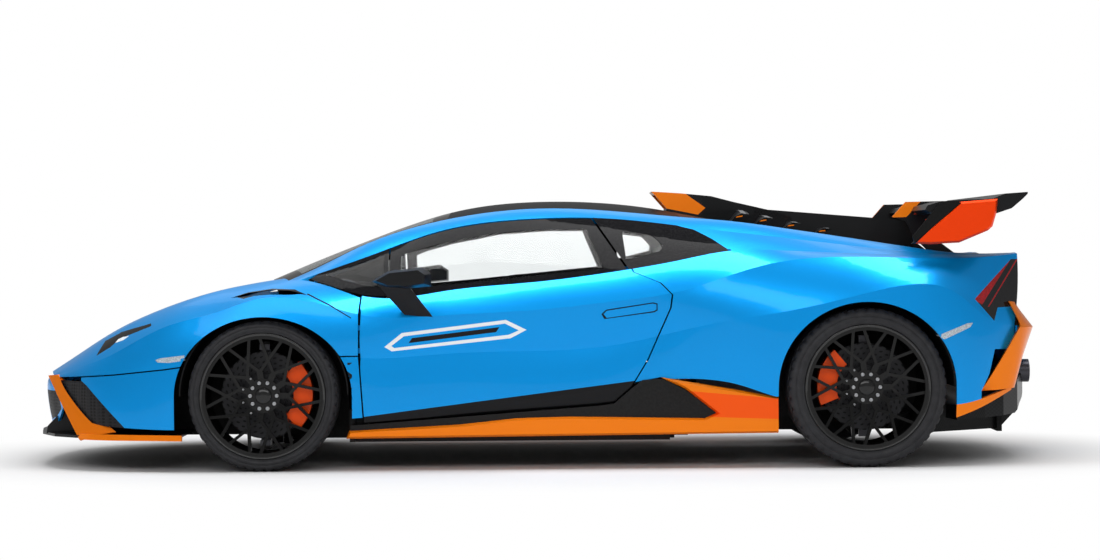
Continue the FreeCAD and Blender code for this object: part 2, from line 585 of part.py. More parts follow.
def plan_prism(shares, z_low, z_high):
    points = [Vector(x * half_length, y * half_width, z_low) for x, y in shares]
    face = Part.Face(Part.makePolygon(points + [points[0]]))
    return face.extrude(Vector(0, 0, z_high - z_low))


def side_wire(shares, y):
    points = [Vector(x * half_length, y, z * roof_height) for x, z in shares]
    return Part.makePolygon(points + [points[0]])


# A plate with its outer edges bevelled: it grows narrower over its last few millimetres
def bevelled(shares, y_in, y_out):
    side = 1 if y_out > y_in else -1
    y_middle = y_out - side * bevel_depth
    wire = side_wire(shares, y_middle)
    narrow = wire.makeOffset2D(-bevel, 2)
    if abs(Part.Face(narrow).Area) > abs(Part.Face(wire).Area):
        narrow = wire.makeOffset2D(bevel, 2)
    narrow.translate(Vector(0, y_out - y_middle, 0))
    rim = Part.makeLoft([wire, narrow], True, True)
    return side_prism(shares, y_in, y_middle).fuse(rim).removeSplitter()


def revolved(profile, centre):
    points = [Vector(centre.x + r, centre.y + y, centre.z) for r, y in profile]
    face = Part.Face(Part.makePolygon(points + [points[0]]))
    return face.revolve(centre, Vector(0, 1, 0), 360)


def fused(shapes):
    whole = shapes[0]
    if len(shapes) > 1:
        whole = shapes[0].multiFuse(shapes[1:])
    return whole.removeSplitter()


def main_solid(shape):
    return max(shape.Solids, key=lambda solid: solid.Volume)


def without_crumbs(shape):
    largest = main_solid(shape).Volume
    kept = [solid for solid in shape.Solids if solid.Volume > crumb_share * largest]
    return kept[0] if len(kept) == 1 else Part.makeCompound(kept)


# A feature line: a smooth curve through points, with one station for each point
class Line:
    def __init__(self, points, stations):
        self.points = points
        self.stations = stations
        self.slopes = smooth_slopes(points, stations)

    def index(self, station):
        misses = [abs(s - station) for s in self.stations]
        return misses.index(min(misses))

    def poles(self, first, last):
        a = self.index(first)
        b = self.index(last)
        row = [self.points[a]]
        for i in range(a, b):
            step = (self.stations[i + 1] - self.stations[i]) / 3
            row.append(self.points[i] + self.slopes[i] * step)
            row.append(self.points[i + 1] - self.slopes[i + 1] * step)
        row.append(self.points[b])
        return row


def smooth_slopes(points, stations):
    n = len(points)
    steps = [stations[i + 1] - stations[i] for i in range(n - 1)]
    rises = [(points[i + 1] - points[i]) * (3 / steps[i]) for i in range(n - 1)]
    lower = [0] + [steps[i] for i in range(1, n - 1)] + [1]
    middle = [2] + [2 * (steps[i - 1] + steps[i]) for i in range(1, n - 1)] + [2]
    upper = [1] + [steps[i - 1] for i in range(1, n - 1)] + [0]
    right = [rises[0]]
    for i in range(1, n - 1):
        right.append(rises[i - 1] * steps[i] + rises[i] * steps[i - 1])
    right.append(rises[-1])
    for i in range(1, n):
        factor = lower[i] / middle[i - 1]
        middle[i] = middle[i] - factor * upper[i - 1]
        right[i] = right[i] - right[i - 1] * factor
    slopes = [right[-1] * (1 / middle[-1])]
    for i in range(n - 2, -1, -1):
        slopes.insert(0, (right[i] - slopes[0] * upper[i]) * (1 / middle[i]))
    return slopes


def flipped(line):
    points = [Vector(p.x, -p.y, p.z) for p in line.points]
    return Line(points, line.stations)


def unit(v):
    return v * (1 / v.Length)


# The control line between two feature lines: a crown on their middle, square to the surface
def crown_line(line_a, line_b, crown):
    stations = [s for s in line_a.stations if s in line_b.stations]
    points = []
    for station in stations:
        a = line_a.index(station)
        b = line_b.index(station)
        across = line_b.points[b] - line_a.points[a]
        out = unit((line_a.slopes[a] + line_b.slopes[b]).cross(across))
        middle = (line_a.points[a] + line_b.points[b]) * 0.5
        points.append(middle + out * (2 * crown * across.Length))
    return Line(points, stations)


def through_row(row_a, row_m, row_b):
    return [row_m[i] * 2 - (row_a[i] + row_b[i]) * 0.5 for i in range(len(row_a))]


# A feature line moved square inward, toward the back of the panel
def inner_line(line, before, after, first, last, depth):
    neighbours = [near for near in (before, after) if near]
    points = []
    stations = []
    for i, station in enumerate(line.stations):
        shared = all(station in near.stations for near in neighbours)
        if not shared and not first <= station <= last:
            continue
        low = (before or line).points[(before or line).index(station)]
        high = (after or line).points[(after or line).index(station)]
        out = unit(line.slopes[i].cross(high - low))
        points.append(line.points[i] - out * depth)
        stations.append(station)
    return Line(points, stations)


def surface(rows, stations, across_degree):
    poles = [[row[i] for row in rows] for i in range(len(rows[0]))]
    mults = [4] + [2] * (len(stations) - 2) + [4]
    ends = [across_degree + 1, across_degree + 1]
    made = Part.BSplineSurface()
    made.buildFromPolesMultsKnots(poles, mults, ends, list(stations), [0, 1], False, False, 3, across_degree)
    return made.toShape()


def end_wall(outer, inner):
    poles = [outer, inner]
    degree = len(outer) - 1
    made = Part.BSplineSurface()
    ends = [degree + 1, degree + 1]
    made.buildFromPolesMultsKnots(poles, [2, 2], ends, [0, 1], [0, 1], False, False, 1, degree)
    return made.toShape()


# A closed panel between feature lines: each middle is a crown share or a line to pass through
def panel(lines, middles, first, last, depth, before=None, after=None):
    sequence = [lines[0]]
    for i, middle in enumerate(middles):
        if isinstance(middle, Line):
            sequence.append(middle)
        sequence.append(lines[i + 1])
    inner = {}
    for i, line in enumerate(sequence):
        low = sequence[i - 1] if i > 0 else before
        high = sequence[i + 1] if i < len(sequence) - 1 else after
        inner[id(line)] = inner_line(line, low, high, first, last, depth)
    a = lines[0].index(first)
    b = lines[0].index(last)
    stations = lines[0].stations[a:b + 1]
    faces = []
    for i, middle in enumerate(middles):
        outer_a = lines[i].poles(first, last)
        outer_b = lines[i + 1].poles(first, last)
        inner_a = inner[id(lines[i])].poles(first, last)
        inner_b = inner[id(lines[i + 1])].poles(first, last)
        if isinstance(middle, Line):
            outer_m = through_row(outer_a, middle.poles(first, last), outer_b)
            inner_m = through_row(inner_a, inner[id(middle)].poles(first, last), inner_b)
        else:
            inner_pair = inner[id(lines[i])], inner[id(lines[i + 1])]
            outer_m = crown_line(lines[i], lines[i + 1], middle).poles(first, last)
            inner_m = crown_line(inner_pair[0], inner_pair[1], middle).poles(first, last)
        faces.append(surface([outer_a, outer_m, outer_b], stations, 2))
        faces.append(surface([inner_a, inner_m, inner_b], stations, 2))
        for j in (0, -1):
            outer_row = [outer_a[j], outer_m[j], outer_b[j]]
            inner_row = [inner_a[j], inner_m[j], inner_b[j]]
            faces.append(end_wall(outer_row, inner_row))
        if i == 0:
            faces.append(surface([outer_a, inner_a], stations, 1))
        if i == len(middles) - 1:
            faces.append(surface([outer_b, inner_b], stations, 1))
    shell = Part.Shell(faces)
    shell.sewShape()
    solid = Part.Solid(shell)
    if solid.Volume < 0:
        solid.reverse()
    return solid


def body_line(shares, stations, side):
    return Line([Vector(p.x, side * p.y, p.z) for p in map(at, shares)], stations)


body_stations = tuple(station_shares)
top_stations = (screen_station,) + tuple(station_shares[6:])
hood_stations = tuple(station_shares[:8])
edge = body_line(edge_shares, body_stations, -1)
waist = body_line(waist_shares, body_stations, -1)
shoulder = body_line(shoulder_shares, body_stations, -1)
crest = body_line(crest_shares, body_stations, -1)
hood_crease = body_line(hood_crease_shares, hood_stations, -1)
hinge_x = hinge_share[0] * half_length
hinge_z = hinge_share[1] * roof_height
hood_centre = body_line(hood_centre_shares, hood_stations, -1)
rail_base = body_line(rail_base_shares, top_stations, -1)
rail_top = body_line(rail_top_shares, top_stations, -1)
roof_centre = body_line(roof_centre_shares, top_stations, -1)

front_centre = Vector(front_axle_x, -front_wheel_y, front_tyre_radius)
rear_centre = Vector(rear_axle_x, -rear_wheel_y, rear_tyre_radius)


# A wheel opening: the upper half of an ellipse on straight sides
def arch_cut(axle_x, height, half, centre_z, y_low, y_high):
    centre = Vector(axle_x, y_low, centre_z)
    oval = Part.Ellipse(centre, max(half, height), min(half, height)).toShape()
    oval.rotate(centre, Vector(1, 0, 0), 90)
    if height > half:
        oval.rotate(centre, Vector(0, 1, 0), 90)
    round_part = Part.Face(Part.Wire(oval)).extrude(Vector(0, y_high - y_low, 0))
    low = Part.makeBox(2 * half, y_high - y_low, centre_z, Vector(axle_x - half, y_low, 0))
    return round_part.fuse(low)


front_arch = arch_cut(front_axle_x, arch_front_height, arch_front_half, front_tyre_radius, -width, 0)
rear_arch = arch_cut(rear_axle_x, arch_rear_height, arch_rear_half, rear_tyre_radius, -width, 0)
front_arches = front_arch.fuse(mirrored(front_arch))

nodes = {}


def prism_below(shares, drop=0):
    points = [(x, z - drop / roof_height) for x, z in shares]
    points += [(shares[-1][0], below_share), (shares[0][0], below_share)]
    return side_prism(points, -width, width)


def end_prism(shares, reach):
    points = [Vector(0, y * half_width, z * roof_height) for y, z in shares]
    face_piece = Part.Face(Part.makePolygon(points + [points[0]]))
    return face_piece.extrude(Vector(reach, 0, 0))


def sunk(shares, gap):
    return [(x, z - gap / roof_height) for x, z in shares]


def grown(shares, gap):
    return [(x + gap / half_length, z) for x, z in shares]


# Front lid: the bonnet with both wing tops, in one clamshell
left_lines = [edge, waist, shoulder, crest, hood_crease]
right_lines = [flipped(line) for line in reversed(left_lines)]
side_crowns = [low_crown_share, crown_share, crown_share]
front_skin = panel(
    left_lines + right_lines,
    side_crowns + [crown_share, hood_centre, crown_share] + side_crowns[::-1],
    nose_station, door_front_station, lid_wall,
)
cowl_cut = plan_prism(lid_rear_shares, 0, far)
front_skin_open = front_skin.cut(cowl_cut.fuse(mirrored(cowl_cut)))
headlamp_cut = side_prism(headlamp_shares, -width, -lamp_in_share * half_width)
headlamp_cuts = headlamp_cut.fuse(mirrored(headlamp_cut))
vent_cut = side_prism(fender_vent_shares, -width, -vent_in_share * half_width)
above_split = front_skin_open.cut(prism_below(lid_split_shares)).cut(front_arches)
lamps = above_split.common(headlamp_cuts)
nodes["headlamps"] = lamps
ear_y = hinge_y_share * half_width
ear = side_prism(hinge_ear_shares, -ear_y, -ear_y + hinge_ear_width)
hinge_middle = Vector(hinge_x, -ear_y, hinge_z)
eye = Part.makeCylinder(hinge_eye_radius, hinge_ear_width, hinge_middle, Vector(0, 1, 0))
hole_radius = hinge_pin_radius + running_clearance
pin_hole = Part.makeCylinder(hole_radius, hinge_ear_width, hinge_middle, Vector(0, 1, 0))
ear = ear.fuse(eye).cut(pin_hole)
lid_shell = above_split.cut(headlamp_cuts).cut(vent_cut.fuse(mirrored(vent_cut)))
ear = main_solid(ear.cut(lid_shell))
nodes["front_lid"] = without_crumbs(fused([lid_shell, ear, mirrored(ear)]))

# Fixed front body below the lid: bumper sides, and the wing pieces behind the wheels
lower_skin = front_skin.common(prism_below(lid_split_shares, shut_gap)).cut(front_arches)
ahead = Part.makeBox(far, far, far, Vector(front_axle_x - far, -far / 2, -far / 2))
side_mouth = side_prism(side_mouth_cut_shares, -width, width)
bumper_sides = lower_skin.common(ahead).cut(side_mouth)
nodes["front_wings_lower"] = lower_skin.cut(ahead)

# Front bumper face, from one side of the nose to the other
face_top = body_line(face_top_shares, face_stations, 1)
face_mid = body_line(face_mid_shares, face_stations, 1)
face_low = body_line(face_low_shares, face_stations, 1)
face = panel([face_top, face_low], [face_mid], face_start, face_end, face_wall)
grille_hole = end_prism(grille_shares, -far)
mouth_hole = end_prism(side_mouth_shares, -far)
mouths = grille_hole.fuse([mouth_hole, mirrored(mouth_hole)])
inner_edge = inner_line(edge, None, waist, nose_station, door_front_station, lid_wall)
inner_waist = inner_line(waist, edge, shoulder, nose_station, door_front_station, lid_wall)
inner_shoulder = inner_line(shoulder, waist, crest, nose_station, door_front_station, lid_wall)
mesh_lines = [inner_edge, inner_waist]
side_mesh = panel(
    mesh_lines, [low_crown_share], nose_station, mouth_station, mesh_wall, None, inner_shoulder,
)
side_mesh = side_mesh.common(side_prism(side_mesh_shares, -width, 0)).cut(face)

# Orange blade beside each nose mouth: from the nose corner down to the lip
blade_front = body_line(blade_front_shares, blade_stations, 1)
blade_back = body_line(blade_back_shares, blade_stations, 1)
blade = panel([blade_front, blade_back], [crown_share], blade_stations[0], blade_stations[-1], lip_wall)
blade = main_solid(blade.cut(face).cut(side_mesh).cut(front_skin))
nodes["front_blades"] = Part.makeCompound(both(blade))
side_mesh = main_solid(side_mesh.cut(blade))
nodes["front_grilles"] = Part.makeCompound(face.common(mouths).Solids + both(side_mesh))
nodes["front_bumper"] = without_crumbs(fused([face.cut(mouths)] + bumper_sides.Solids))

# Orange lip below the bumper sides, and the splitter plate that carries it
lip_low = body_line(lip_low_shares, lip_stations, 1)
lip_high = body_line(lip_high_shares, lip_stations, 1)
lip = panel([lip_low, lip_high], [0], lip_stations[0], lip_stations[-1], lip_wall)
lip = main_solid(lip.cut(blade).cut(nodes["front_bumper"]))
lips = Part.makeCompound(both(lip))
nodes["front_valance"] = lips
splitter_low = splitter_low_share * roof_height
splitter_left = plan_prism([(x, -y) for x, y in splitter_shares], splitter_low, splitter_low + plate_wall)
splitter_fin_y = splitter_fin_share * half_width
splitter_fin = side_prism(splitter_fin_shares, -splitter_fin_y, -splitter_fin_y + splitter_fin_wall)
splitter = fused([splitter_left, mirrored(splitter_left)] + both(splitter_fin))
splitter = splitter.cut(nodes["front_bumper"]).cut(nodes["front_blades"]).cut(lips)
nodes["splitter"] = main_solid(splitter.cut(nodes["front_grilles"]).cut(box(splitter_open_share)))

# Doors
rocker = body_line(rocker_shares, station_shares[7:13], -1)
door_skin = panel(
    [rocker, edge, waist, shoulder, crest], [0] + side_crowns, door_front_station, pillar_station, door_wall,
)
door_cut = side_prism(door_outline_shares, -width, 0)
door = door_skin.common(door_cut)
door_hinge_x = door_hinge_share[0] * half_length
door_hinge_y = door_hinge_share[1] * half_width
groove = Part.makeCylinder(door_groove_radius, roof_height, Vector(door_hinge_x, door_hinge_y, 0))
door = door.cut(groove)
door_arms = []
for height_share in door_hinge_height_shares:
    foot = Vector(door_hinge_x, door_hinge_y, height_share * roof_height)
    base = foot + Vector(0, 0, door_arm_wall)
    eye_base = base + Vector(0, 0, door_pocket_clearance)
    eye = Part.makeCylinder(door_eye_radius, door_eye_height, eye_base)
    neck = Part.makeBox(2 * door_eye_radius, door_neck_reach, door_eye_height)
    neck.translate(eye_base - Vector(door_eye_radius, 0, 0))
    strap = Part.makeBox(door_strap_reach, 2 * door_eye_radius, door_eye_height)
    strap.translate(eye_base + Vector(-door_eye_radius, door_neck_reach - 2 * door_eye_radius, 0))
    bore_radius = door_hinge_radius + running_clearance
    bore = Part.makeCylinder(bore_radius, door_eye_height + door_pocket_clearance, base)
    door = door.fuse([eye.fuse([neck, strap]).cut(bore)])
    door_arm = Part.makeBox(
        door_arm_depth, -door_hinge_y - door_arm_in_share * half_width, door_arm_wall,
        foot - Vector(door_arm_depth, 0, 0),
    )
    tip = Part.makeCylinder(door_eye_radius, door_arm_wall, foot)
    pin = Part.makeCylinder(door_hinge_radius, door_eye_height, base)
    door_arms.append(door_arm.fuse([tip, pin]))
nodes["door_left"] = main_solid(door)
nodes["door_right"] = mirrored(nodes["door_left"])

# Side glass: the panes in the doors stand clear of the roof rail, the fixed ones meet it
def toward(line, target, distance):
    points = []
    for point, station in zip(line.points, line.stations):
        aim = target.points[target.index(station)]
        points.append(point + unit(aim - point) * distance)
    return Line(points, line.stations)


belt_stations = tuple(station_shares[6:])
belt = Line(crest.points[6:], belt_stations)
belt.slopes = crest.slopes[6:]
rail_low = Line(rail_base.points[1:], belt_stations)
rail_low.slopes = rail_base.slopes[1:]
glass_top = toward(rail_low, belt, door_gap)
glass_low = toward(belt, rail_low, door_gap)
first_belt = belt_stations[0]
seat_line = toward(rail_low, belt, glass_seat)


def pane(low_line, high_line, last):
    return panel([low_line, high_line], [crown_share], first_belt, last, glass_wall, shoulder, rail_top)


side_glass = pane(belt, glass_top, pillar_station)
fixed_glass = pane(belt, seat_line, pillar_station)
front_glass = pane(glass_low, seat_line, door_mid_station)
front_glass_cut = side_prism(front_glass_shares, -width, 0)
glass_cut = side_prism(door_glass_shares, -width, 0)
rear_glass_cut = side_prism(rear_glass_shares, -width, 0)
rail = panel(
    [rail_base, rail_top], [crown_share], screen_station, pillar_station, rail_wall, crest, roof_centre,
)
nodes["door_glass_left"] = main_solid(side_glass.common(glass_cut).cut(nodes["door_left"]))
nodes["door_glass_right"] = mirrored(nodes["door_glass_left"])
rear_sail_cut = side_prism(rear_sail_shares, -width, 0)
rear_pane = main_solid(fixed_glass.common(rear_glass_cut).cut(rear_sail_cut))
front_pane = main_solid(front_glass.common(front_glass_cut).cut(rail))
nodes["roof_frame"] = Part.makeCompound(both(rail))
rail_top_right = flipped(rail_top)
rail_base_right = flipped(rail_base)


# A panel over the middle of the roof, from rail to rail
def roof_piece(first, last, wall):
    return panel([rail_top, rail_top_right], [roof_centre], first, last, wall, rail_base, rail_base_right)


nodes["windscreen"] = roof_piece(screen_station, roof_front_station, screen_wall)
nodes["roof_panel"] = roof_piece(roof_front_station, roof_rear_station, roof_wall)
cover = roof_piece(roof_rear_station, tail_station, cover_wall)

# Rear quarters: from the door to the tail, up over the glass to the engine cover,
# with a sail that runs forward over the rear side window
side_lines = [edge, waist, shoulder, crest]
quarter_side = panel(
    side_lines, side_crowns, door_mid_station, pillar_station, skin_wall, None, rail_base,
)
quarter_rear = panel(
    side_lines + [rail_base, rail_top], side_crowns + [low_crown_share, crown_share],
    pillar_station, tail_station, skin_wall, None, roof_centre,
)
rear_door_cut = side_prism(grown(door_outline_shares, door_gap), -width, 0)
quarter_low_cut = side_prism(quarter_low_shares, -width, 0)
quarter_front = quarter_side.cut(rear_door_cut).cut(door_cut).cut(quarter_low_cut)
quarter_all = quarter_rear.cut(rear_arch).cut(quarter_low_cut)
tail_cut = side_prism(tail_cut_shares, -width, 0)
quarter_back = quarter_all.cut(tail_cut)
lamp_side = main_solid(quarter_all.common(side_prism(lamp_side_shares, -width, 0)))
bumper_side = main_solid(quarter_all.common(side_prism(bumper_side_shares, -width, 0)))
sail = panel(
    [crest, rail_base], [low_crown_share], door_mid_station, pillar_station, skin_wall, shoulder, rail_top,
)
sail = main_solid(sail.common(rear_sail_cut))
quarter_limit = pillar_station * half_length - skin_wall
front_pieces = [solid for solid in quarter_front.Solids if solid.BoundBox.XMax > quarter_limit]
quarter_left = fused([main_solid(quarter_back), sail] + front_pieces)
quarters = Part.makeCompound(both(quarter_left))
nodes["rear_quarters"] = quarters
fixed_panes = both(main_solid(rear_pane.cut(quarter_left).cut(nodes["door_left"])))
fixed_panes += both(main_solid(front_pane.cut(nodes["door_left"]).cut(front_skin)))
nodes["side_windows"] = Part.makeCompound(fixed_panes)

# Tail: panel with the lamps, bumper, grille, blades and diffuser
tail_top = body_line(tail_top_shares, face_stations, 1)
tail_mid = body_line(tail_mid_shares, face_stations, 1)
tail_low = body_line(tail_low_shares, face_stations, 1)
rear_mid = body_line(rear_mid_shares, face_stations, 1)
rear_low = body_line(rear_low_shares, face_stations, 1)
tail_skin = panel([tail_low, tail_top], [tail_mid], face_start, face_end, face_wall)
rear_skin = panel([rear_low, tail_low], [rear_mid], face_start, face_end, face_wall, None, tail_mid)
rear_skin = rear_skin.cut(tail_skin)
tail_block = panel([rear_low, tail_low, tail_top], [rear_mid, tail_mid], face_start, face_end, stay_depth)
rear_skin = main_solid(rear_skin.cut(quarter_left).cut(mirrored(quarter_left)))
lamp_hole = end_prism(lamp_shares, far)
lamp_holes = lamp_hole.fuse(mirrored(lamp_hole))
grille_hole = end_prism(rear_grille_shares, far)
lamp_side = main_solid(lamp_side.cut(tail_skin))
bumper_side = main_solid(bumper_side.cut(tail_skin).cut(rear_skin))
nodes["tail_lamps"] = Part.makeCompound(tail_skin.common(lamp_holes).Solids + both(lamp_side))
nodes["rear_grille"] = tail_skin.common(grille_hole).cut(lamp_holes)
nodes["tail_panel"] = tail_skin.cut(lamp_holes).cut(grille_hole)
cover = main_solid(cover.cut(tail_skin))
nodes["rear_bumper"] = Part.makeCompound([rear_skin] + both(bumper_side))

# Orange rear blades: they stand proud of the bumper's corners and run on below the rear quarters
blade_lines = []
for shares in (blade_low_shares, blade_mid_shares, blade_ridge_shares, blade_rise_shares, blade_high_shares):
    blade_lines.append(body_line(shares, rear_blade_stations, 1))
low, mid, ridge, rise, high = blade_lines
rear_blade = panel(
    [low, ridge, high], [mid, rise], rear_blade_stations[0], rear_blade_stations[-1], rear_blade_wall,
)
rear_blade = rear_blade.common(side_prism(rear_blade_shares, -width, -rear_blade_in_share * half_width))
strip_low = body_line(strip_low_shares, station_shares[15:18], -1)
strip_high = Line(edge.points[15:18], station_shares[15:18])
strip_high.slopes = edge.slopes[15:18]
strip_waist = Line(waist.points[15:18], station_shares[15:18])
strip = panel([strip_low, strip_high], [0], strip_station, tail_station, lip_wall, None, strip_waist)
strip = strip.cut(rear_arch)
rear_blade = fused([rear_blade, strip]).cut(quarters).cut(rear_skin).cut(tail_skin)
rear_blade = main_solid(rear_blade.cut(lamp_side).cut(bumper_side))
nodes["rear_blades"] = Part.makeCompound(both(rear_blade))

diffuser = side_prism(diffuser_shares, -half_width, half_width)
diffuser_plan = plan_prism([(x, -y) for x, y in diffuser_plan_shares], 0, roof_height)
diffuser = diffuser.common(diffuser_plan.fuse(mirrored(diffuser_plan)))
fins = []
for y_share in diffuser_fin_shares:
    y_low = y_share * half_width
    fins.append(side_prism(diffuser_fin_outline_shares, y_low, y_low + blade_wall))
nodes["diffuser"] = main_solid(fused([diffuser] + fins).cut(rear_skin).cut(nodes["rear_blades"]))
tip_centre = at(exhaust_share)
tip = Part.makeCylinder(exhaust_radius, exhaust_length, tip_centre, Vector(1, 0, 0))
tip = tip.cut(Part.makeCylinder(exhaust_radius - exhaust_wall, exhaust_length, tip_centre, Vector(1, 0, 0)))
tip_hole = Part.makeCylinder(exhaust_radius, exhaust_length, tip_centre, Vector(1, 0, 0))
nodes["exhaust_tips"] = Part.makeCompound(both(tip))
tip_holes = tip_hole.fuse(mirrored(tip_hole))
nodes["rear_bumper"] = without_crumbs(nodes["rear_bumper"].cut(tip_holes))
nodes["diffuser"] = nodes["diffuser"].cut(tip_holes)

# Roof scoop, shark fin and the tail wing
deck_block = roof_piece(roof_front_station, tail_station, deck_depth)
scoop_half = scoop_half_share * half_width
scoop = side_prism(scoop_shares, -scoop_half, scoop_half)
scoop_plan = plan_prism(scoop_plan_shares, 0, far)
scoop_mouth_half = scoop_mouth_half_share * half_width
scoop_mouth = side_prism(scoop_mouth_shares, -scoop_mouth_half, scoop_mouth_half)
scoop = main_solid(scoop.common(scoop_plan.fuse(mirrored(scoop_plan))).cut(scoop_mouth).cut(deck_block))
nodes["roof_scoop"] = scoop
fin = side_prism(fin_shares, -fin_wall / 2, fin_wall / 2)
nodes["shark_fin"] = main_solid(fin.cut(deck_block).cut(scoop))
for band in range(louvre_count):
    slot_x = louvre_start_share + band * louvre_pitch_share
    slot_end = slot_x + louvre_slot_share
    slot = box((slot_x, slot_end, -louvre_half_share, louvre_half_share, 0, louvre_top_share))
    spine = box((slot_x, slot_end, -louvre_clear_share, louvre_clear_share, 0, louvre_top_share))
    cover = cover.cut(slot.cut(spine))
nodes["engine_cover"] = cover
wing_half = wing_half_share * half_width
wing = side_prism(wing_shares, -wing_half, wing_half)
flap = side_prism(flap_shares, -wing_half, wing_half)
plate = bevelled(end_plate_shares, -wing_half, -wing_half - end_plate_wall)
pylon_y = pylon_share * half_width
pylon = side_prism(pylon_shares, -pylon_y - plate_wall / 2, -pylon_y + plate_wall / 2)
pylons = Part.makeCompound(both(main_solid(pylon.cut(deck_block))))
nodes["wing_pylons"] = pylons
nodes["rear_wing"] = Part.makeCompound([main_solid(wing.cut(pylons)), flap.cut(pylons)])
nodes["wing_end_plates"] = Part.makeCompound(both(plate))

# Sills under the doors
sill = bevelled(sill_shares, -sill_in_share * half_width, -sill_out_share * half_width)
sill_door_cut = side_prism(sunk(door_outline_shares, shut_gap), -width, 0)
sill = main_solid(sill.cut(sill_door_cut).cut(rear_door_cut).cut(quarter_left).cut(rear_arch))
nodes["side_sills"] = Part.makeCompound(both(sill))

# Chassis: cabin tub, front frame with luggage tub, rear frame and engine
cowl = plan_prism(cowl_shares, cowl_low_share * roof_height, cowl_high_share * roof_height)
screen_block = panel(
    [rail_base, rail_top, rail_top_right, rail_base_right],
    [crown_share, roof_centre, crown_share],
    screen_station, roof_front_station, cowl_depth, crest, flipped(crest),
)
cowl = cowl.fuse(mirrored(cowl)).common(screen_block.translated(Vector(0, 0, -cowl_drop)))
sill_panel_out = sill_panel_out_share * half_width
sill_panel = side_prism(sill_panel_shares, -sill_panel_out, -sill_panel_in_share * half_width)
tub_pieces = [cowl]
for share in (floor_share, foot_floor_share, firewall_share, bulkhead_share, tunnel_share):
    tub_pieces.append(box(share))
side_pieces = [sill_panel] + door_arms
for share in (wing_tab_share, sill_box_share, foot_side_share, foot_corner_share):
    side_pieces.append(box(share))
for piece in side_pieces:
    tub_pieces += both(piece)
tub = fused(tub_pieces)
tub = tub.cut(nodes["roof_frame"]).cut(nodes["windscreen"]).cut(nodes["front_wings_lower"])
tub = tub.cut(nodes["side_sills"]).cut(nodes["side_windows"]).cut(quarters).cut(nodes["engine_cover"])
nodes["cabin_tub"] = main_solid(tub)


# A wheelhouse: half a drum over the wheel, closed on its inner side
def liner(axle_x, centre_z, radius, y_out):
    y_in = liner_in_share * half_width
    outer_radius = radius + liner_wall
    centre = Vector(axle_x, -y_out, centre_z)
    ring = Part.makeCylinder(outer_radius, y_out - y_in, centre, Vector(0, 1, 0))
    ring = ring.cut(Part.makeCylinder(radius, y_out - y_in, centre, Vector(0, 1, 0)))
    wall = Part.makeCylinder(outer_radius, liner_wall, Vector(axle_x, -y_in, centre_z), Vector(0, 1, 0))
    low = Part.makeBox(4 * radius, 2 * y_out, 2 * radius)
    corner = Vector(axle_x - 2 * radius, -y_out - liner_wall, -2 * radius)
    ring = ring.cut(low.translated(corner + Vector(0, 0, centre_z)))
    wall = wall.cut(low.translated(corner + Vector(0, 0, liner_low_share * roof_height)))
    return ring.fuse(wall)


front_liner_out = front_liner_out_share * half_width
rear_liner_out = rear_liner_out_share * half_width
front_liner = liner(front_axle_x, front_tyre_radius, front_liner_radius, front_liner_out)
rear_liner = liner(rear_axle_x, rear_tyre_radius, rear_liner_radius, rear_liner_out)
arm_x = lug_half
kingpin_y = -front_wheel_y + kingpin_offset
arm_z = lug_low + lug_height + arm_gap
arms = []
for sign in (-1, 1):
    z_low = front_tyre_radius + sign * arm_z
    if sign < 0:
        z_low -= arm_height
    arm_length = arm_x - kingpin_y - arm_in_share * half_width
    arm = Part.makeBox(2 * arm_x, arm_length, arm_height)
    arm.translate(Vector(front_axle_x - arm_x, kingpin_y - arm_x, z_low))
    pin_z = front_tyre_radius + sign * arm_z - (arm_gap + lug_height if sign > 0 else 0)
    pin = Part.makeCylinder(pin_radius, arm_gap + lug_height, Vector(front_axle_x, kingpin_y, pin_z))
    arms.append(arm.fuse(pin))
luggage_half = luggage_half_share * half_width
inner_half = luggage_half - plate_wall
luggage_tub = side_prism(luggage_outer_shares, -luggage_half, luggage_half)
luggage_tub = luggage_tub.cut(side_prism(luggage_inner_shares, -inner_half, inner_half))
front_parts = [luggage_tub, box(front_beam_share)]
bracket_low = -ear_y - running_clearance - hinge_bracket_width
bracket = side_prism(hinge_bracket_shares, bracket_low, bracket_low + hinge_bracket_width)
hinge_pin_length = hinge_bracket_width + hinge_ear_width
hinge_pin_foot = Vector(hinge_x, bracket_low, hinge_z)
hinge_pin = Part.makeCylinder(hinge_pin_radius, hinge_pin_length, hinge_pin_foot, Vector(0, 1, 0))
bracket = bracket.fuse(hinge_pin)
for piece in [front_liner] + arms + [box(front_rail_share), box(lower_bracket_share), bracket]:
    front_parts += both(piece)
front_frame = fused(front_parts)
for name in ("cabin_tub", "front_bumper", "front_grilles", "splitter"):
    front_frame = front_frame.cut(nodes[name])
nodes["front_frame"] = main_solid(front_frame)
rear_parts = [box(rear_cross_share), box(rear_tail_share)]
rear_stay = box(rear_stay_share).common(tail_block)
quarter_block = panel(side_lines, side_crowns, stay_station, tail_station, stay_depth, None, rail_base)
quarter_stay = box(quarter_stay_share).common(quarter_block).fuse(box(quarter_arm_share))
for piece in [rear_liner, box(rear_cradle_share), rear_stay, quarter_stay, box(rear_bridge_share)]:
    rear_parts += both(piece)
nodes["engine_block"] = box(engine_share)

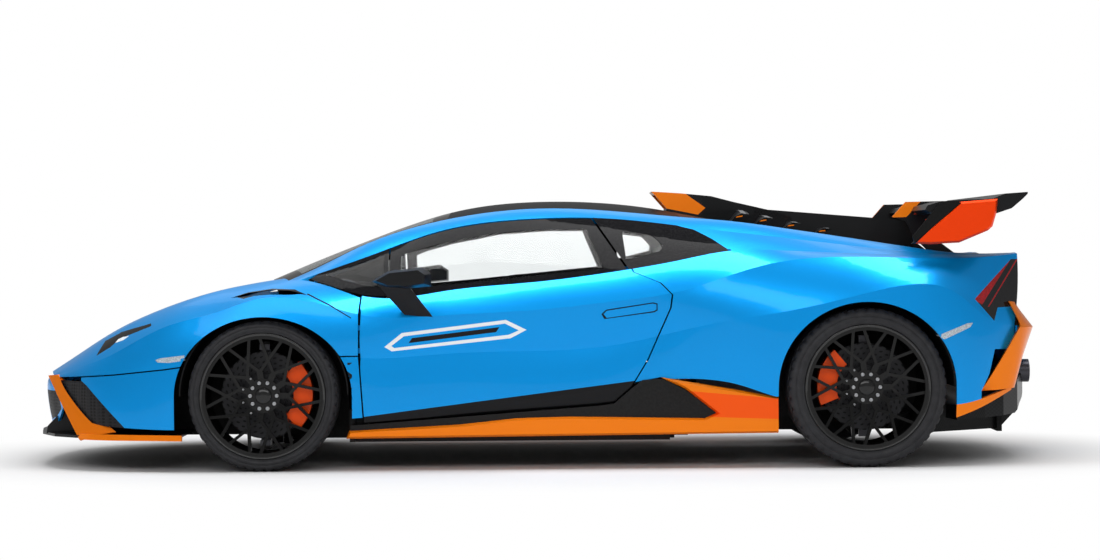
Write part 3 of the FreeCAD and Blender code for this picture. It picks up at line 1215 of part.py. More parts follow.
# Cabin: seats, dashboard, steering wheel
seat_low = seat_share[0] * half_width
seat_high = seat_share[1] * half_width
seat = side_prism(seat_shares, -seat_high, -seat_low)
nodes["seats"] = Part.makeCompound(both(seat))
dash_half = dash_half_share * half_width
dash = side_prism(dash_shares, -dash_half, dash_half)
wheelhouse_radius = front_liner_radius + liner_wall + running_clearance
wheelhouse_centre = Vector(front_axle_x, -half_width, front_tyre_radius)
wheelhouse = Part.makeCylinder(wheelhouse_radius, width, wheelhouse_centre, Vector(0, 1, 0))
dash = dash.cut(nodes["cabin_tub"]).cut(nodes["roof_frame"]).cut(wheelhouse).cut(nodes["front_frame"])
nodes["dashboard"] = main_solid(dash)
wheel_centre = at(steering_share)
column_axis = Vector(math.cos(column_lean), 0, math.sin(column_lean))
grip_points = []
for k in range(grip_sides):
    turn = 2 * math.pi * (k + 0.5) / grip_sides
    grip_x = steering_wheel_radius + steering_grip_radius * math.cos(turn)
    grip_points.append(Vector(grip_x, 0, steering_grip_radius * math.sin(turn)))
grip_face = Part.Face(Part.makePolygon(grip_points + [grip_points[0]]))
ring = grip_face.revolve(Vector(0, 0, 0), Vector(0, 0, 1), 360)
ring.rotate(Vector(0, 0, 0), Vector(0, 1, 0), 90 - math.degrees(column_lean))
ring.translate(wheel_centre)
column_foot = wheel_centre - column_axis * steering_column_length
hub = Part.makeCylinder(steering_column_radius, steering_column_length, column_foot, column_axis)
bar = Part.makeBox(2 * steering_grip_radius, 2 * steering_wheel_radius, steering_grip_radius)
bar.translate(Vector(-steering_grip_radius, -steering_wheel_radius, -steering_grip_radius / 2))
bar.rotate(Vector(0, 0, 0), Vector(0, 1, 0), 90 - math.degrees(column_lean))
bar.translate(wheel_centre)
nodes["steering_wheel"] = fused([ring, hub, bar])
collar_radius = steering_column_radius + running_clearance
collar = Part.makeCylinder(collar_radius, far, wheel_centre - column_axis * far, column_axis)
nodes["dashboard"] = nodes["dashboard"].cut(collar)

# Mirrors on the doors
mirror_wires = []
for shares, y_share in zip((mirror_root_shares, mirror_head_shares, mirror_tip_shares), mirror_y_shares):
    mirror_wires.append(side_wire(shares, y_share * half_width))
mirror_head = Part.makeLoft(mirror_wires, True, True)
arm_wires = []
for corners in (mirror_foot_share, mirror_neck_share):
    points = [at(corner) for corner in corners]
    arm_wires.append(Part.makePolygon(points + [points[0]]))
mirror_arm = Part.makeLoft(arm_wires, True, True)
mirror = fused([mirror_head, mirror_arm]).cut(nodes["door_left"]).cut(nodes["door_glass_left"])
nodes["mirror_left"] = main_solid(mirror)
nodes["mirror_right"] = mirrored(nodes["mirror_left"])


# Wheels: profiles run outward from the wheel's centre plane
def wheel_band(profile, centre):
    return revolved([(r, -y) for r, y in profile], centre)


def polar(radius, angle):
    return Vector(math.cos(angle), 0, math.sin(angle)) * radius


def spoke(root, tip_point, across_width, centre, half):
    across = unit((tip_point - root).cross(Vector(0, 1, 0))) * (across_width / 2)
    corners = [root + across, tip_point + across, tip_point - across, root - across]
    corners = [corner + centre + Vector(0, -half, 0) for corner in corners]
    face_piece = Part.Face(Part.makePolygon(corners + [corners[0]]))
    return face_piece.extrude(Vector(0, 2 * half, 0))


def make_wheel(centre, tyre_radius, tyre_width, setback):
    half = tyre_width / 2
    lip = half - rim_inset
    seat_edge = lip - rim_wall
    shoulder_r = tyre_radius - (tyre_radius - bead_radius) * tyre_shoulder_share
    side_r = bead_radius + (tyre_radius - bead_radius) * tyre_side_share
    tyre = wheel_band([
        (bead_radius, -seat_edge), (flange_radius, -seat_edge), (side_r, -half),
        (tyre_radius, -seat_edge + rim_inset), (tyre_radius, seat_edge - rim_inset),
        (shoulder_r, half - rim_inset),
        (side_r, half), (flange_radius, seat_edge), (bead_radius, seat_edge),
    ], centre)
    inner = bead_radius - rim_wall
    barrel = wheel_band([
        (inner, -lip), (flange_radius, -lip), (flange_radius, -seat_edge), (bead_radius, -seat_edge),
        (bead_radius, seat_edge), (flange_radius, seat_edge), (flange_radius, lip), (inner, lip),
    ], centre)
    front_rim = lip - setback
    front_hub = front_rim - spoke_dish
    middle = bead_radius - rim_wall / 2
    band = wheel_band([
        (spoke_root_radius, front_hub - spoke_sink), (middle, front_rim), (middle, front_rim - spoke_depth),
        (spoke_root_radius, front_hub - spoke_depth),
    ], centre)
    arms_list = []
    half_pitch = math.pi / spoke_count
    for k in range(spoke_count):
        base = 2 * half_pitch * k
        root = polar(spoke_root_radius, base)
        node = polar(spoke_node_radius, base)
        arms_list.append(spoke(root, node, spoke_root_width, centre, half))
        for side in (-1, 1):
            tip_point = polar(middle, base + side * (half_pitch + math.radians(spoke_tip_turn)))
            arms_list.append(spoke(node, tip_point, spoke_width, centre, half))
    spokes = arms_list[0].multiFuse(arms_list[1:]).common(band)
    mount = front_hub - hub_depth
    bore = spindle_radius + running_clearance
    hub_piece = wheel_band([
        (0, front_hub), (hub_radius, front_hub), (hub_radius, mount), (bore, mount),
        (bore, mount + bore_depth), (0, mount + bore_depth),
    ], centre)
    rim = fused([barrel, spokes, hub_piece])
    disc_out = mount - disc_setback
    disc_in = disc_out - disc_thickness
    disc = wheel_band([
        (bore, mount), (hat_radius, mount), (hat_radius, disc_out), (disc_radius, disc_out),
        (disc_radius, disc_in), (hat_radius - hat_wall, disc_in), (hat_radius - hat_wall, mount - hat_wall),
        (bore, mount - hat_wall),
    ], centre)
    return tyre, rim, disc, mount, disc_out, disc_in


def make_caliper(centre, disc_out, disc_in, half_angle, middle_angle):
    r_in = disc_radius - caliper_reach
    r_out = disc_radius + caliper_gap + caliper_wall / 2
    r_gap = disc_radius + caliper_gap
    out = disc_out + caliper_gap
    inn = disc_in - caliper_gap
    profile = [
        (r_in, out), (r_in, out + caliper_wall), (r_out, out + caliper_wall), (r_out, inn - caliper_wall),
        (r_in, inn - caliper_wall), (r_in, inn), (r_gap, inn), (r_gap, out),
    ]
    points = [Vector(centre.x + r, centre.y - y, centre.z) for r, y in profile]
    face_piece = Part.Face(Part.makePolygon(points + [points[0]]))
    face_piece.rotate(centre, Vector(0, 1, 0), -middle_angle + half_angle)
    return face_piece.revolve(centre, Vector(0, 1, 0), -2 * half_angle)


def make_upright(centre, mount, disc_in, caliper, pivots):
    outer = disc_in - upright_gap
    spindle_end = mount + spindle_reach
    disk = wheel_band([
        (0, spindle_end), (spindle_radius, spindle_end), (spindle_radius, outer), (hat_radius, outer),
        (hat_radius, outer - upright_thickness), (0, outer - upright_thickness),
    ], centre)
    reach = lug_low + lug_height
    spine = Part.makeBox(2 * lug_half, upright_thickness, 2 * reach)
    spine.translate(centre + Vector(-lug_half, -outer, -reach))
    parts = [disk, spine]
    caliper_arm = Part.makeBox(disc_radius, upright_thickness, 2 * lug_half)
    side = 1 if pivots else -1
    caliper_arm.translate(centre + Vector(0 if side > 0 else -disc_radius, -outer, -lug_half))
    parts.append(caliper_arm)
    if pivots:
        for low in (-reach, lug_low):
            lug = Part.makeBox(2 * lug_half, outer_span(outer), lug_height)
            lug.translate(centre + Vector(-lug_half, kingpin_offset - lug_half, low))
            parts.append(lug)
    whole = fused(parts)
    if pivots:
        kingpin = centre + Vector(0, kingpin_offset, 0)
        for low in (-reach, lug_low):
            foot = kingpin + Vector(0, 0, low)
            whole = whole.cut(Part.makeCylinder(pin_radius + running_clearance, lug_height, foot))
    return whole.cut(caliper)


def outer_span(outer):
    return -outer + upright_thickness - kingpin_offset + lug_half


front_wheel = make_wheel(front_centre, front_tyre_radius, front_tyre_width, front_spoke_setback)
tyre, rim, disc, mount, disc_out, disc_in = front_wheel
caliper = make_caliper(front_centre, disc_out, disc_in, front_caliper_half_angle, 0)
upright = make_upright(front_centre, mount, disc_in, caliper, True)
front_nodes = {
    "tyre_front": tyre, "rim_front": rim, "brake_disc_front": disc, "front_caliper": caliper,
    "front_upright": upright,
}
for name, shape in front_nodes.items():
    nodes[name + "_left"] = shape
    nodes[name + "_right"] = mirrored(shape)
rear_wheel = make_wheel(rear_centre, rear_tyre_radius, rear_tyre_width, rear_spoke_setback)
tyre, rim, disc, mount, disc_out, disc_in = rear_wheel
rear_caliper_angle = 180 - rear_caliper_lift_angle
caliper = make_caliper(rear_centre, disc_out, disc_in, rear_caliper_half_angle, rear_caliper_angle)
upright = make_upright(rear_centre, mount, disc_in, caliper, False)
for name, shape in (("tyre_rear", tyre), ("rim_rear", rim), ("brake_disc_rear", disc)):
    nodes[name + "_left"] = shape
    nodes[name + "_right"] = mirrored(shape)
nodes["rear_calipers"] = Part.makeCompound(both(caliper))
link_in = liner_in_share * half_width
link_out = rear_wheel_y + disc_in - upright_gap - upright_thickness
for low in (-rear_link_height, rear_link_height):
    link = Part.makeBox(2 * lug_half, link_out - link_in + liner_wall, lug_height)
    link.translate(Vector(rear_axle_x - lug_half, -link_out, rear_tyre_radius + low))
    rear_parts += both(link)
nodes["rear_uprights"] = Part.makeCompound(both(upright))
rear_frame = fused(rear_parts).cut(quarters).cut(rear_skin).cut(tail_skin).cut(nodes["diffuser"])
rear_frame = rear_frame.cut(nodes["rear_blades"]).cut(nodes["rear_bumper"]).cut(nodes["tail_lamps"])
nodes["rear_frame"] = main_solid(rear_frame)

os.makedirs("parts", exist_ok=True)
for name, shape in nodes.items():
    shape.exportStep("parts/" + name + ".step")
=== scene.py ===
import json
import math

import bmesh
import bpy
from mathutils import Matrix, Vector
from mathutils.bvhtree import BVHTree


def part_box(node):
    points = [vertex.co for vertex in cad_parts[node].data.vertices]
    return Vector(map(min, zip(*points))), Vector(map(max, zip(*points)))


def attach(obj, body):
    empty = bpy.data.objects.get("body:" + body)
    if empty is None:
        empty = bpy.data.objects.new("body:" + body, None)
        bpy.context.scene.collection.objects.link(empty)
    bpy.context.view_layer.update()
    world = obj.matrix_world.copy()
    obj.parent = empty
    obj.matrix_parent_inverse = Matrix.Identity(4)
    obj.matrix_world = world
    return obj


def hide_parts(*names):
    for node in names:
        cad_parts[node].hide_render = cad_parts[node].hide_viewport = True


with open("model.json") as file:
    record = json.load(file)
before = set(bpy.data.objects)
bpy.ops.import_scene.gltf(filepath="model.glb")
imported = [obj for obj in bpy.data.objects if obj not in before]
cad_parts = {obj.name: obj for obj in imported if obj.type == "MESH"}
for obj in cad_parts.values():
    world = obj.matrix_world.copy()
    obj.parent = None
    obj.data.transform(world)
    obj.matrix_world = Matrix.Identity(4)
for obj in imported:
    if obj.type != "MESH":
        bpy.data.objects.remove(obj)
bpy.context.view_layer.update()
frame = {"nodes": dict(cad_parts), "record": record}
nodes = frame["nodes"]
record = frame["record"]
scene = bpy.context.scene

# The photograph's frame in pixels, and the camera that fits it, in metres and radians
photo_width = 1100
photo_height = 560
horizon_row = 248
focal_pixels = 2775.6
camera_distance = 12.956
camera_height = 0.96
camera_x = 0.0565
camera_roll = 0.0076
camera_far = 200
sensor_mm = 36

# The car's sides with their signs in y, and its corners
sides = (("left", -1), ("right", 1))
corners = [(end + "_" + side_name, side) for end in ("front", "rear") for side_name, side in sides]

# Rays that look for a surface start this far from the car's middle
ray_side = 2
ray_top = 2
ray_back = 3


def middle_of(node):
    low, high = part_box(node)
    return Vector((a + b) / 2 for a, b in zip(low, high))


# Shader helpers
def new_material(name):
    made = bpy.data.materials.new(name)
    made.use_nodes = True
    tree = made.node_tree
    return made, tree, tree.nodes["Principled BSDF"]


def set_sockets(shader, values):
    for socket, value in values.items():
        shader.inputs[socket].default_value = value


def set_tint(tree, shader, tint):
    tree.links.new(tint, shader.inputs["Base Color"])


def place_of(tree, output="Object"):
    return tree.nodes.new("ShaderNodeTexCoord").outputs[output]


def coordinates(tree, scale):
    mapping = tree.nodes.new("ShaderNodeMapping")
    mapping.inputs["Scale"].default_value = scale
    tree.links.new(place_of(tree), mapping.inputs["Vector"])
    return mapping.outputs["Vector"]


def noise(tree, scale, detail):
    made = tree.nodes.new("ShaderNodeTexNoise")
    set_sockets(made, {"Scale": scale, "Detail": detail})
    tree.links.new(coordinates(tree, (1, 1, 1)), made.inputs["Vector"])
    return made.outputs["Fac"]


def cells(tree, scale, stretch=(1, 1, 1), randomness=1):
    """The distance to the middle of the nearest cell."""
    made = tree.nodes.new("ShaderNodeTexVoronoi")
    set_sockets(made, {"Scale": scale, "Randomness": randomness})
    tree.links.new(coordinates(tree, stretch), made.inputs["Vector"])
    return made.outputs["Distance"]


def ramp(tree, source, stops):
    """A colour ramp with two stops."""
    made = tree.nodes.new("ShaderNodeValToRGB")
    for element, (place, color) in zip(made.color_ramp.elements, stops):
        element.position = place
        element.color = (*color, 1)
    tree.links.new(source, made.inputs["Fac"])
    return made.outputs["Color"]


def bump(tree, shader, source, strength, distance):
    made = tree.nodes.new("ShaderNodeBump")
    set_sockets(made, {"Strength": strength, "Distance": distance})
    tree.links.new(source, made.inputs["Height"])
    tree.links.new(made.outputs["Normal"], shader.inputs["Normal"])


def maths(tree, operation, a, b=0):
    made = tree.nodes.new("ShaderNodeMath")
    made.operation = operation
    for socket, value in zip(made.inputs, (a, b)):
        if isinstance(value, (int, float)):
            socket.default_value = value
        else:
            tree.links.new(value, socket)
    return made.outputs[0]


def joined(tree, operation, masks):
    """Masks folded into one: MULTIPLY keeps what all of them show, MAXIMUM what any does."""
    whole = masks[0]
    for mask in masks[1:]:
        whole = maths(tree, operation, whole, mask)
    return whole


def squared(tree, value):
    return maths(tree, "POWER", maths(tree, "ABSOLUTE", value), 2)


def dot(tree, vector, direction):
    made = tree.nodes.new("ShaderNodeVectorMath")
    made.operation = "DOT_PRODUCT"
    tree.links.new(vector, made.inputs[0])
    made.inputs[1].default_value = direction
    return made.outputs["Value"]


def from_middle(tree):
    """The distance from the car's middle plane."""
    return maths(tree, "ABSOLUTE", dot(tree, place_of(tree), (0, 1, 0)))


def mixed(tree, mask, off, on):
    made = tree.nodes.new("ShaderNodeMix")
    made.data_type = "RGBA"
    tree.links.new(mask, made.inputs[0])
    for socket, value in ((made.inputs[6], off), (made.inputs[7], on)):
        if isinstance(value, tuple):
            socket.default_value = (*value, 1)
        else:
            tree.links.new(value, socket)
    return made.outputs[2]


def masked(tree, tint, masks):
    """Other colours over a tint, each where its mask is 1."""
    for mask, other in masks:
        tint = mixed(tree, mask(tree), tint, other)
    return tint


def shade(color, factor):
    return tuple(min(channel * factor, 1) for channel in color)


# Masks: 1 where they show. The side view has the nose at its left, so +x is to the right and +z up
inboard_limit = -0.03


def split_off(tree, a, b):
    """The left of the line from a to b in the side view: above a line toward the tail, ahead of one that runs up."""
    normal = Vector((-(b[1] - a[1]), 0, b[0] - a[0])).normalized()
    limit = normal.dot(Vector((a[0], 0, a[1])))
    return maths(tree, "GREATER_THAN", dot(tree, place_of(tree), normal), limit)


def inverse(tree, mask):
    return maths(tree, "SUBTRACT", 1, mask)


def inside(tree, points):
    """The inside of a convex outline in the side view."""
    area = sum(a[0] * b[1] - b[0] * a[1] for a, b in zip(points, points[1:] + points[:1]))
    ring = points if area > 0 else points[::-1]
    return joined(tree, "MULTIPLY", [split_off(tree, a, b) for a, b in zip(ring, ring[1:] + ring[:1])])


def inboard(tree):
    """Faces that look toward the middle of the car: there the normal's y and the place's y differ in sign."""
    normal = dot(tree, place_of(tree, "Normal"), (0, 1, 0))
    across = dot(tree, place_of(tree), (0, 1, 0))
    return maths(tree, "LESS_THAN", maths(tree, "MULTIPLY", normal, across), inboard_limit)


def region(*outlines):
    """Any of some outlines in the side view."""
    return lambda tree: joined(tree, "MAXIMUM", [inside(tree, outline) for outline in outlines])


def outboard_of(mask):
    """What a mask shows of the faces that look away from the middle of the car."""
    return lambda tree: maths(tree, "MULTIPLY", inverse(tree, inboard(tree)), mask(tree))


def left_of(a, b):
    return lambda tree: split_off(tree, a, b)


def below(a, b):
    """What lies under a line that runs toward the tail."""
    return lambda tree: inverse(tree, split_off(tree, a, b))


# Materials
def paint(name, color, metallic=0.6, roughness=0.34, masks=()):
    """Car paint: a metallic base with fine flakes under a thin coat; masks put other colours on parts of it."""
    made, tree, shader = new_material(name)
    tint = ramp(tree, noise(tree, 900, 1), [(0.3, shade(color, 0.93)), (0.7, shade(color, 1.06))])
    set_tint(tree, shader, masked(tree, tint, masks))
    set_sockets(shader, {
        "Metallic": metallic, "Roughness": roughness, "Specular IOR Level": 0.12,
        "Coat Weight": 0.22, "Coat Roughness": 0.04,
    })
    bump(tree, shader, noise(tree, 260, 2), 0.04, 0.0003)
    return made


def black(name, level, roughness, coat, grain):
    """Moulded or lacquered black."""
    made, tree, shader = new_material(name)
    mottle = noise(tree, grain, 4)
    set_tint(tree, shader, ramp(tree, mottle, [(0.3, (level * 0.8,) * 3), (0.7, (level * 1.3,) * 3)]))
    set_sockets(shader, {
        "Roughness": roughness, "Specular IOR Level": 0.14, "Coat Weight": coat, "Coat Roughness": 0.05,
    })
    bump(tree, shader, mottle, 0.08, 0.0006)
    return made


def carbon(name, masks=(), level=1.0, gloss=1.0):
    """Woven carbon under lacquer: a checked twill."""
    made, tree, shader = new_material(name)
    weave = tree.nodes.new("ShaderNodeTexChecker")
    weave.inputs["Scale"].default_value = 240
    tree.links.new(coordinates(tree, (1, 1, 0.5)), weave.inputs["Vector"])
    threads = weave.outputs["Fac"]
    light_thread = (0.011 * level, 0.012 * level, 0.014 * level)
    tint = ramp(tree, threads, [(0.2, (0.004 * level,) * 3), (0.8, light_thread)])
    set_tint(tree, shader, masked(tree, tint, masks))
    set_sockets(shader, {
        "Roughness": 0.35, "Specular IOR Level": 0.14 * gloss, "Coat Weight": 0.12 * gloss, "Coat Roughness": 0.08,
    })
    bump(tree, shader, threads, 0.05, 0.0004)
    return made


def glass(name, color, clear, gloss=0.3, painted_shade_outline=None):
    """Tinted glass with a black printed border outside the clear part; inside the painted_shade_outline the tint is
    painted far darker, as painted shade behind the pane.
    """
    made, tree, shader = new_material(name)
    haze = ramp(tree, noise(tree, 14, 3), [(0.2, shade(color, 0.97)), (0.8, color)])
    # Painted shade: a far darker tint inside this outline
    if painted_shade_outline:
        haze = mixed(tree, inside(tree, painted_shade_outline), haze, shade(color, 0.12))
    printed = ramp(tree, cells(tree, 160), [(0.3, (0.004, 0.004, 0.005)), (0.7, (0.012, 0.012, 0.013))])
    mask = clear(tree)
    set_tint(tree, shader, mixed(tree, mask, printed, haze))
    tree.links.new(mask, shader.inputs["Transmission Weight"])
    set_sockets(shader, {"Roughness": 0, "IOR": 1.15, "Specular IOR Level": gloss})
    return made


def lamp_glow(name, color, strength, cell):
    """A lit lens with a pattern of cells in it."""
    made, tree, shader = new_material(name)
    pattern = cells(tree, cell)
    set_tint(tree, shader, ramp(tree, pattern, [(0, color), (0.7, shade(color, 0.45))]))
    set_sockets(shader, {
        "Roughness": 0.12, "Coat Weight": 1, "Emission Color": (*color, 1), "Emission Strength": strength,
    })
    bump(tree, shader, pattern, 0.2, 0.001)
    return made


def lens(name, dark, lit, mask, strength, cell):
    """A dark lamp housing under clear plastic, with a glowing part."""
    made, tree, shader = new_material(name)
    pattern = cells(tree, cell)
    lit_ramp = ramp(tree, pattern, [(0, lit), (0.7, shade(lit, 0.5))])
    dark_ramp = ramp(tree, pattern, [(0, shade(dark, 1.6)), (0.7, dark)])
    glowing = mask(tree)
    set_tint(tree, shader, mixed(tree, glowing, dark_ramp, lit_ramp))
    tree.links.new(mixed(tree, glowing, (0, 0, 0), lit), shader.inputs["Emission Color"])
    set_sockets(shader, {
        "Emission Strength": strength, "Roughness": 0.12, "Specular IOR Level": 0.3, "Coat Weight": 0.5,
    })
    bump(tree, shader, pattern, 0.15, 0.001)
    return made


def rubber(name):
    made, tree, shader = new_material(name)
    tint = ramp(tree, noise(tree, 35, 5), [(0.25, (0.012, 0.012, 0.014)), (0.75, (0.024, 0.024, 0.027))])
    set_tint(tree, shader, tint)
    set_sockets(shader, {"Roughness": 0.6, "Specular IOR Level": 0.3})
    bump(tree, shader, noise(tree, 700, 3), 0.2, 0.0004)
    return made


def metal(name, color, roughness):
    made, tree, shader = new_material(name)
    grain = noise(tree, 160, 3)
    set_tint(tree, shader, ramp(tree, grain, [(0.2, shade(color, 0.75)), (0.8, color)]))
    set_sockets(shader, {"Metallic": 1, "Roughness": roughness})
    bump(tree, shader, grain, 0.1, 0.0004)
    return made


# Brake discs: holes round the disc, and rows, twist and turned rings in each metre of radius
disc_grey = (0.035, 0.035, 0.038)
disc_holes = 36
disc_rows = 45
disc_twist = 30
disc_rings = 900
disc_hat_radius = 0.1
hole_spread = 0.045


def drilled_disc(name, centre):
    """A ceramic brake disc: turned rings with rows of drilled holes, worked out round its axle; the holes are
    painted near black as painted shade inside them.
    """
    made, tree, shader = new_material(name)
    shift = tree.nodes.new("ShaderNodeVectorMath")
    shift.operation = "SUBTRACT"
    tree.links.new(place_of(tree), shift.inputs[0])
    shift.inputs[1].default_value = centre
    across = dot(tree, shift.outputs[0], (1, 0, 0))
    up = dot(tree, shift.outputs[0], (0, 0, 1))
    reach = maths(tree, "SQRT", maths(tree, "ADD", squared(tree, across), squared(tree, up)))
    turn = maths(tree, "MULTIPLY", maths(tree, "ARCTAN2", up, across), disc_holes / math.tau)
    swirl = maths(tree, "ADD", turn, maths(tree, "MULTIPLY", reach, disc_twist))
    around = maths(tree, "SUBTRACT", maths(tree, "FRACT", swirl), 0.5)
    row = maths(tree, "FRACT", maths(tree, "MULTIPLY", reach, disc_rows))
    outward = maths(tree, "SUBTRACT", row, 0.5)
    spread = maths(tree, "ADD", squared(tree, around), squared(tree, outward))
    drilled = maths(tree, "LESS_THAN", spread, hole_spread)
    hole = maths(tree, "MULTIPLY", drilled, maths(tree, "GREATER_THAN", reach, disc_hat_radius))
    ring = maths(tree, "FRACT", maths(tree, "MULTIPLY", reach, disc_rings))
    turned = ramp(tree, ring, [(0, shade(disc_grey, 0.8)), (1, disc_grey)])
    # The holes are painted near black: painted shade inside them
    set_tint(tree, shader, mixed(tree, hole, turned, (0.004, 0.004, 0.004)))
    set_sockets(shader, {"Metallic": 0.8, "Roughness": 0.45})
    bump(tree, shader, hole, -0.4, 0.002)
    return made


def mesh_plastic(name):
    """Honeycomb mesh: cells sunk into black plastic, their middles painted darker as painted shade in the hollow
    cells.
    """
    made, tree, shader = new_material(name)
    pattern = cells(tree, 70, (0.3, 1, 1), 0)
    # Darker in the middle of each cell: painted shade
    tint = ramp(tree, pattern, [(0.3, (0.001, 0.001, 0.001)), (0.45, (0.014, 0.014, 0.016))])
    set_tint(tree, shader, tint)
    set_sockets(shader, {"Roughness": 0.5, "Specular IOR Level": 0.2})
    bump(tree, shader, pattern, 0.6, 0.004)
    return made


def cloth(name, color, scale):
    made, tree, shader = new_material(name)
    weave = noise(tree, scale, 2)
    set_tint(tree, shader, ramp(tree, weave, [(0.3, shade(color, 0.7)), (0.7, shade(color, 1.3))]))
    set_sockets(shader, {"Roughness": 0.9, "Specular IOR Level": 0.2, "Sheen Weight": 0.15})
    bump(tree, shader, weave, 0.35, 0.0008)
    return made


blue = (0.0, 0.31, 0.80)
orange = (1.0, 0.22, 0.002)
deep_orange = (1.0, 0.055, 0.0)
# Painted shade: a deeper orange for the part of the sill that lies in shade
sill_painted_shade_orange = (1.0, 0.10, 0.001)
caliper_orange = (1.0, 0.085, 0.0)
pitch = (0.006, 0.006, 0.007)
lamp_dark = (0.004, 0.004, 0.005)
white = (0.85, 0.88, 0.9)
clear_glass = (0.93, 0.95, 0.95)
screen_tint = (0.30, 0.36, 0.36)

# Regions in the side view, in metres: (x, z)
door_clear = [
    (-0.600, 0.93), (-0.545, 0.952), (-0.418, 0.985), (-0.194, 1.028), (0.030, 1.043), (0.215, 1.044),
    (0.290, 0.868), (-0.335, 0.808), (-0.600, 0.786),
]
rear_clear = [(0.375, 1.030), (0.505, 1.014), (0.549, 0.970), (0.544, 0.944), (0.390, 0.905)]
front_clear = [(-0.94, 0.850), (-0.690, 0.930), (-0.675, 0.935), (-0.675, 0.792), (-0.75, 0.800)]
stripe_outer = [(-0.665, 0.536), (-0.589, 0.596), (-0.137, 0.650), (-0.048, 0.606), (-0.117, 0.570), (-0.633, 0.517)]
stripe_inner = [(-0.635, 0.540), (-0.580, 0.582), (-0.141, 0.634), (-0.082, 0.604), (-0.125, 0.585), (-0.622, 0.531)]
stripe_bar = [(-0.560, 0.552), (-0.545, 0.574), (-0.165, 0.619), (-0.180, 0.597)]
scoop_front = [(0.500, 1.225), (0.656, 1.225), (0.775, 1.140), (0.739, 1.108), (0.615, 1.134), (0.560, 1.145)]
pylon_front = [(1.585, 1.085), (1.660, 1.160), (1.735, 1.160), (1.668, 1.088)]
pylon_stripe = [(1.700, 1.098), (1.740, 1.138), (1.800, 1.138), (1.765, 1.112)]
tail_glow = [(2.095, 0.905), (2.030, 0.905), (1.870, 0.735), (1.935, 0.700)]
tail_line = [(2.128, 0.905), (2.121, 0.905), (1.962, 0.690), (1.969, 0.690)]
lamp_low = [(-1.945, 0.500), (-1.936, 0.522), (-1.917, 0.563), (-1.836, 0.604), (-1.818, 0.575), (-1.874, 0.542)]
lamp_high = [(-1.845, 0.570), (-1.845, 0.602), (-1.640, 0.658), (-1.700, 0.624), (-1.749, 0.593)]
# Where the sill is painted a deeper orange: painted shade
sill_painted_shade = [(0.649, 0.336), (1.043, 0.300), (1.060, 0.211), (0.731, 0.223)]
# The vent's mouth, painted black on the lid: painted shade of the opening
wing_vent = [
    (-1.321, 0.758), (-1.265, 0.776), (-1.156, 0.792), (-1.056, 0.788), (-0.985, 0.757), (-1.092, 0.752),
    (-1.253, 0.744),
]

# Lines in the side view that part two colours
door_foot = ((-0.758, 0.234), (0.519, 0.393))
plate_front = ((1.650, 0.972), (1.842, 1.150))

# The vent on top of the front wing lies between these distances from the car's middle
vent_inner = 0.5
vent_outer = 0.9

# The windscreen's clear part: its half width and foot, how each changes along or across the glass, and its top
screen_half = 0.415
screen_taper = 0.165
screen_foot = -1.15
screen_bow = 0.17
screen_top = -0.47


def shown_stripe(tree):
    return maths(tree, "MULTIPLY", inside(tree, stripe_outer), inverse(tree, inside(tree, stripe_inner)))


def screen_clear(tree):
    """The windscreen's clear part: off its sides, its foot and its top."""
    across = from_middle(tree)
    along = dot(tree, place_of(tree), (1, 0, 0))
    reach = maths(tree, "ADD", across, maths(tree, "MULTIPLY", along, screen_taper))
    rise = maths(tree, "SUBTRACT", along, maths(tree, "MULTIPLY", across, screen_bow))
    return joined(tree, "MULTIPLY", [
        maths(tree, "LESS_THAN", reach, screen_half),
        maths(tree, "GREATER_THAN", rise, screen_foot),
        maths(tree, "LESS_THAN", along, screen_top),
    ])


def vent_painted_shade(tree):
    """Painted shade: black painted on the lid over the mouth of the vent on top of the front wing, for the shade
    inside its opening.
    """
    across = from_middle(tree)
    return joined(tree, "MULTIPLY", [
        maths(tree, "GREATER_THAN", across, vent_inner),
        maths(tree, "LESS_THAN", across, vent_outer),
        inside(tree, wing_vent),
    ])


blue_paint = paint("blue paint", blue)
door_paint = paint("door paint", blue, masks=[
    (below(*door_foot), pitch),
    (shown_stripe, white),
    (region(stripe_bar), pitch),
    (inboard, pitch),
])
materials = {
    "paint_blue": blue_paint,
    "paint_orange": paint("orange paint", orange, 0.5),
    "black_gloss": carbon("woven carbon"),
    "black_satin": mesh_plastic("black mesh"),
    "glass_clear": glass("door glass", clear_glass, region(door_clear)),
    "lamp_front": black("lamp cover", 0.006, 0.08, 0.6, 40),
    "lamp_rear": lamp_glow("red lamp", (0.5, 0.004, 0.008), 0.1, 90),
    "tyre": rubber("tyre rubber"),
    "wheel_black": black("wheel lacquer", 0.004, 0.25, 0.22, 60),
    "disc_steel": metal("brake steel", (0.12, 0.12, 0.13), 0.4),
    "caliper_orange": paint("caliper paint", caliper_orange, 0.3, 0.4),
    "alloy_grey": metal("cast alloy", (0.10, 0.10, 0.11), 0.45),
    "chassis_dark": black("chassis coating", 0.012, 0.6, 0.0, 90),
    "cabin_black": cloth("cabin cloth", (0.02, 0.02, 0.022), 420),
}
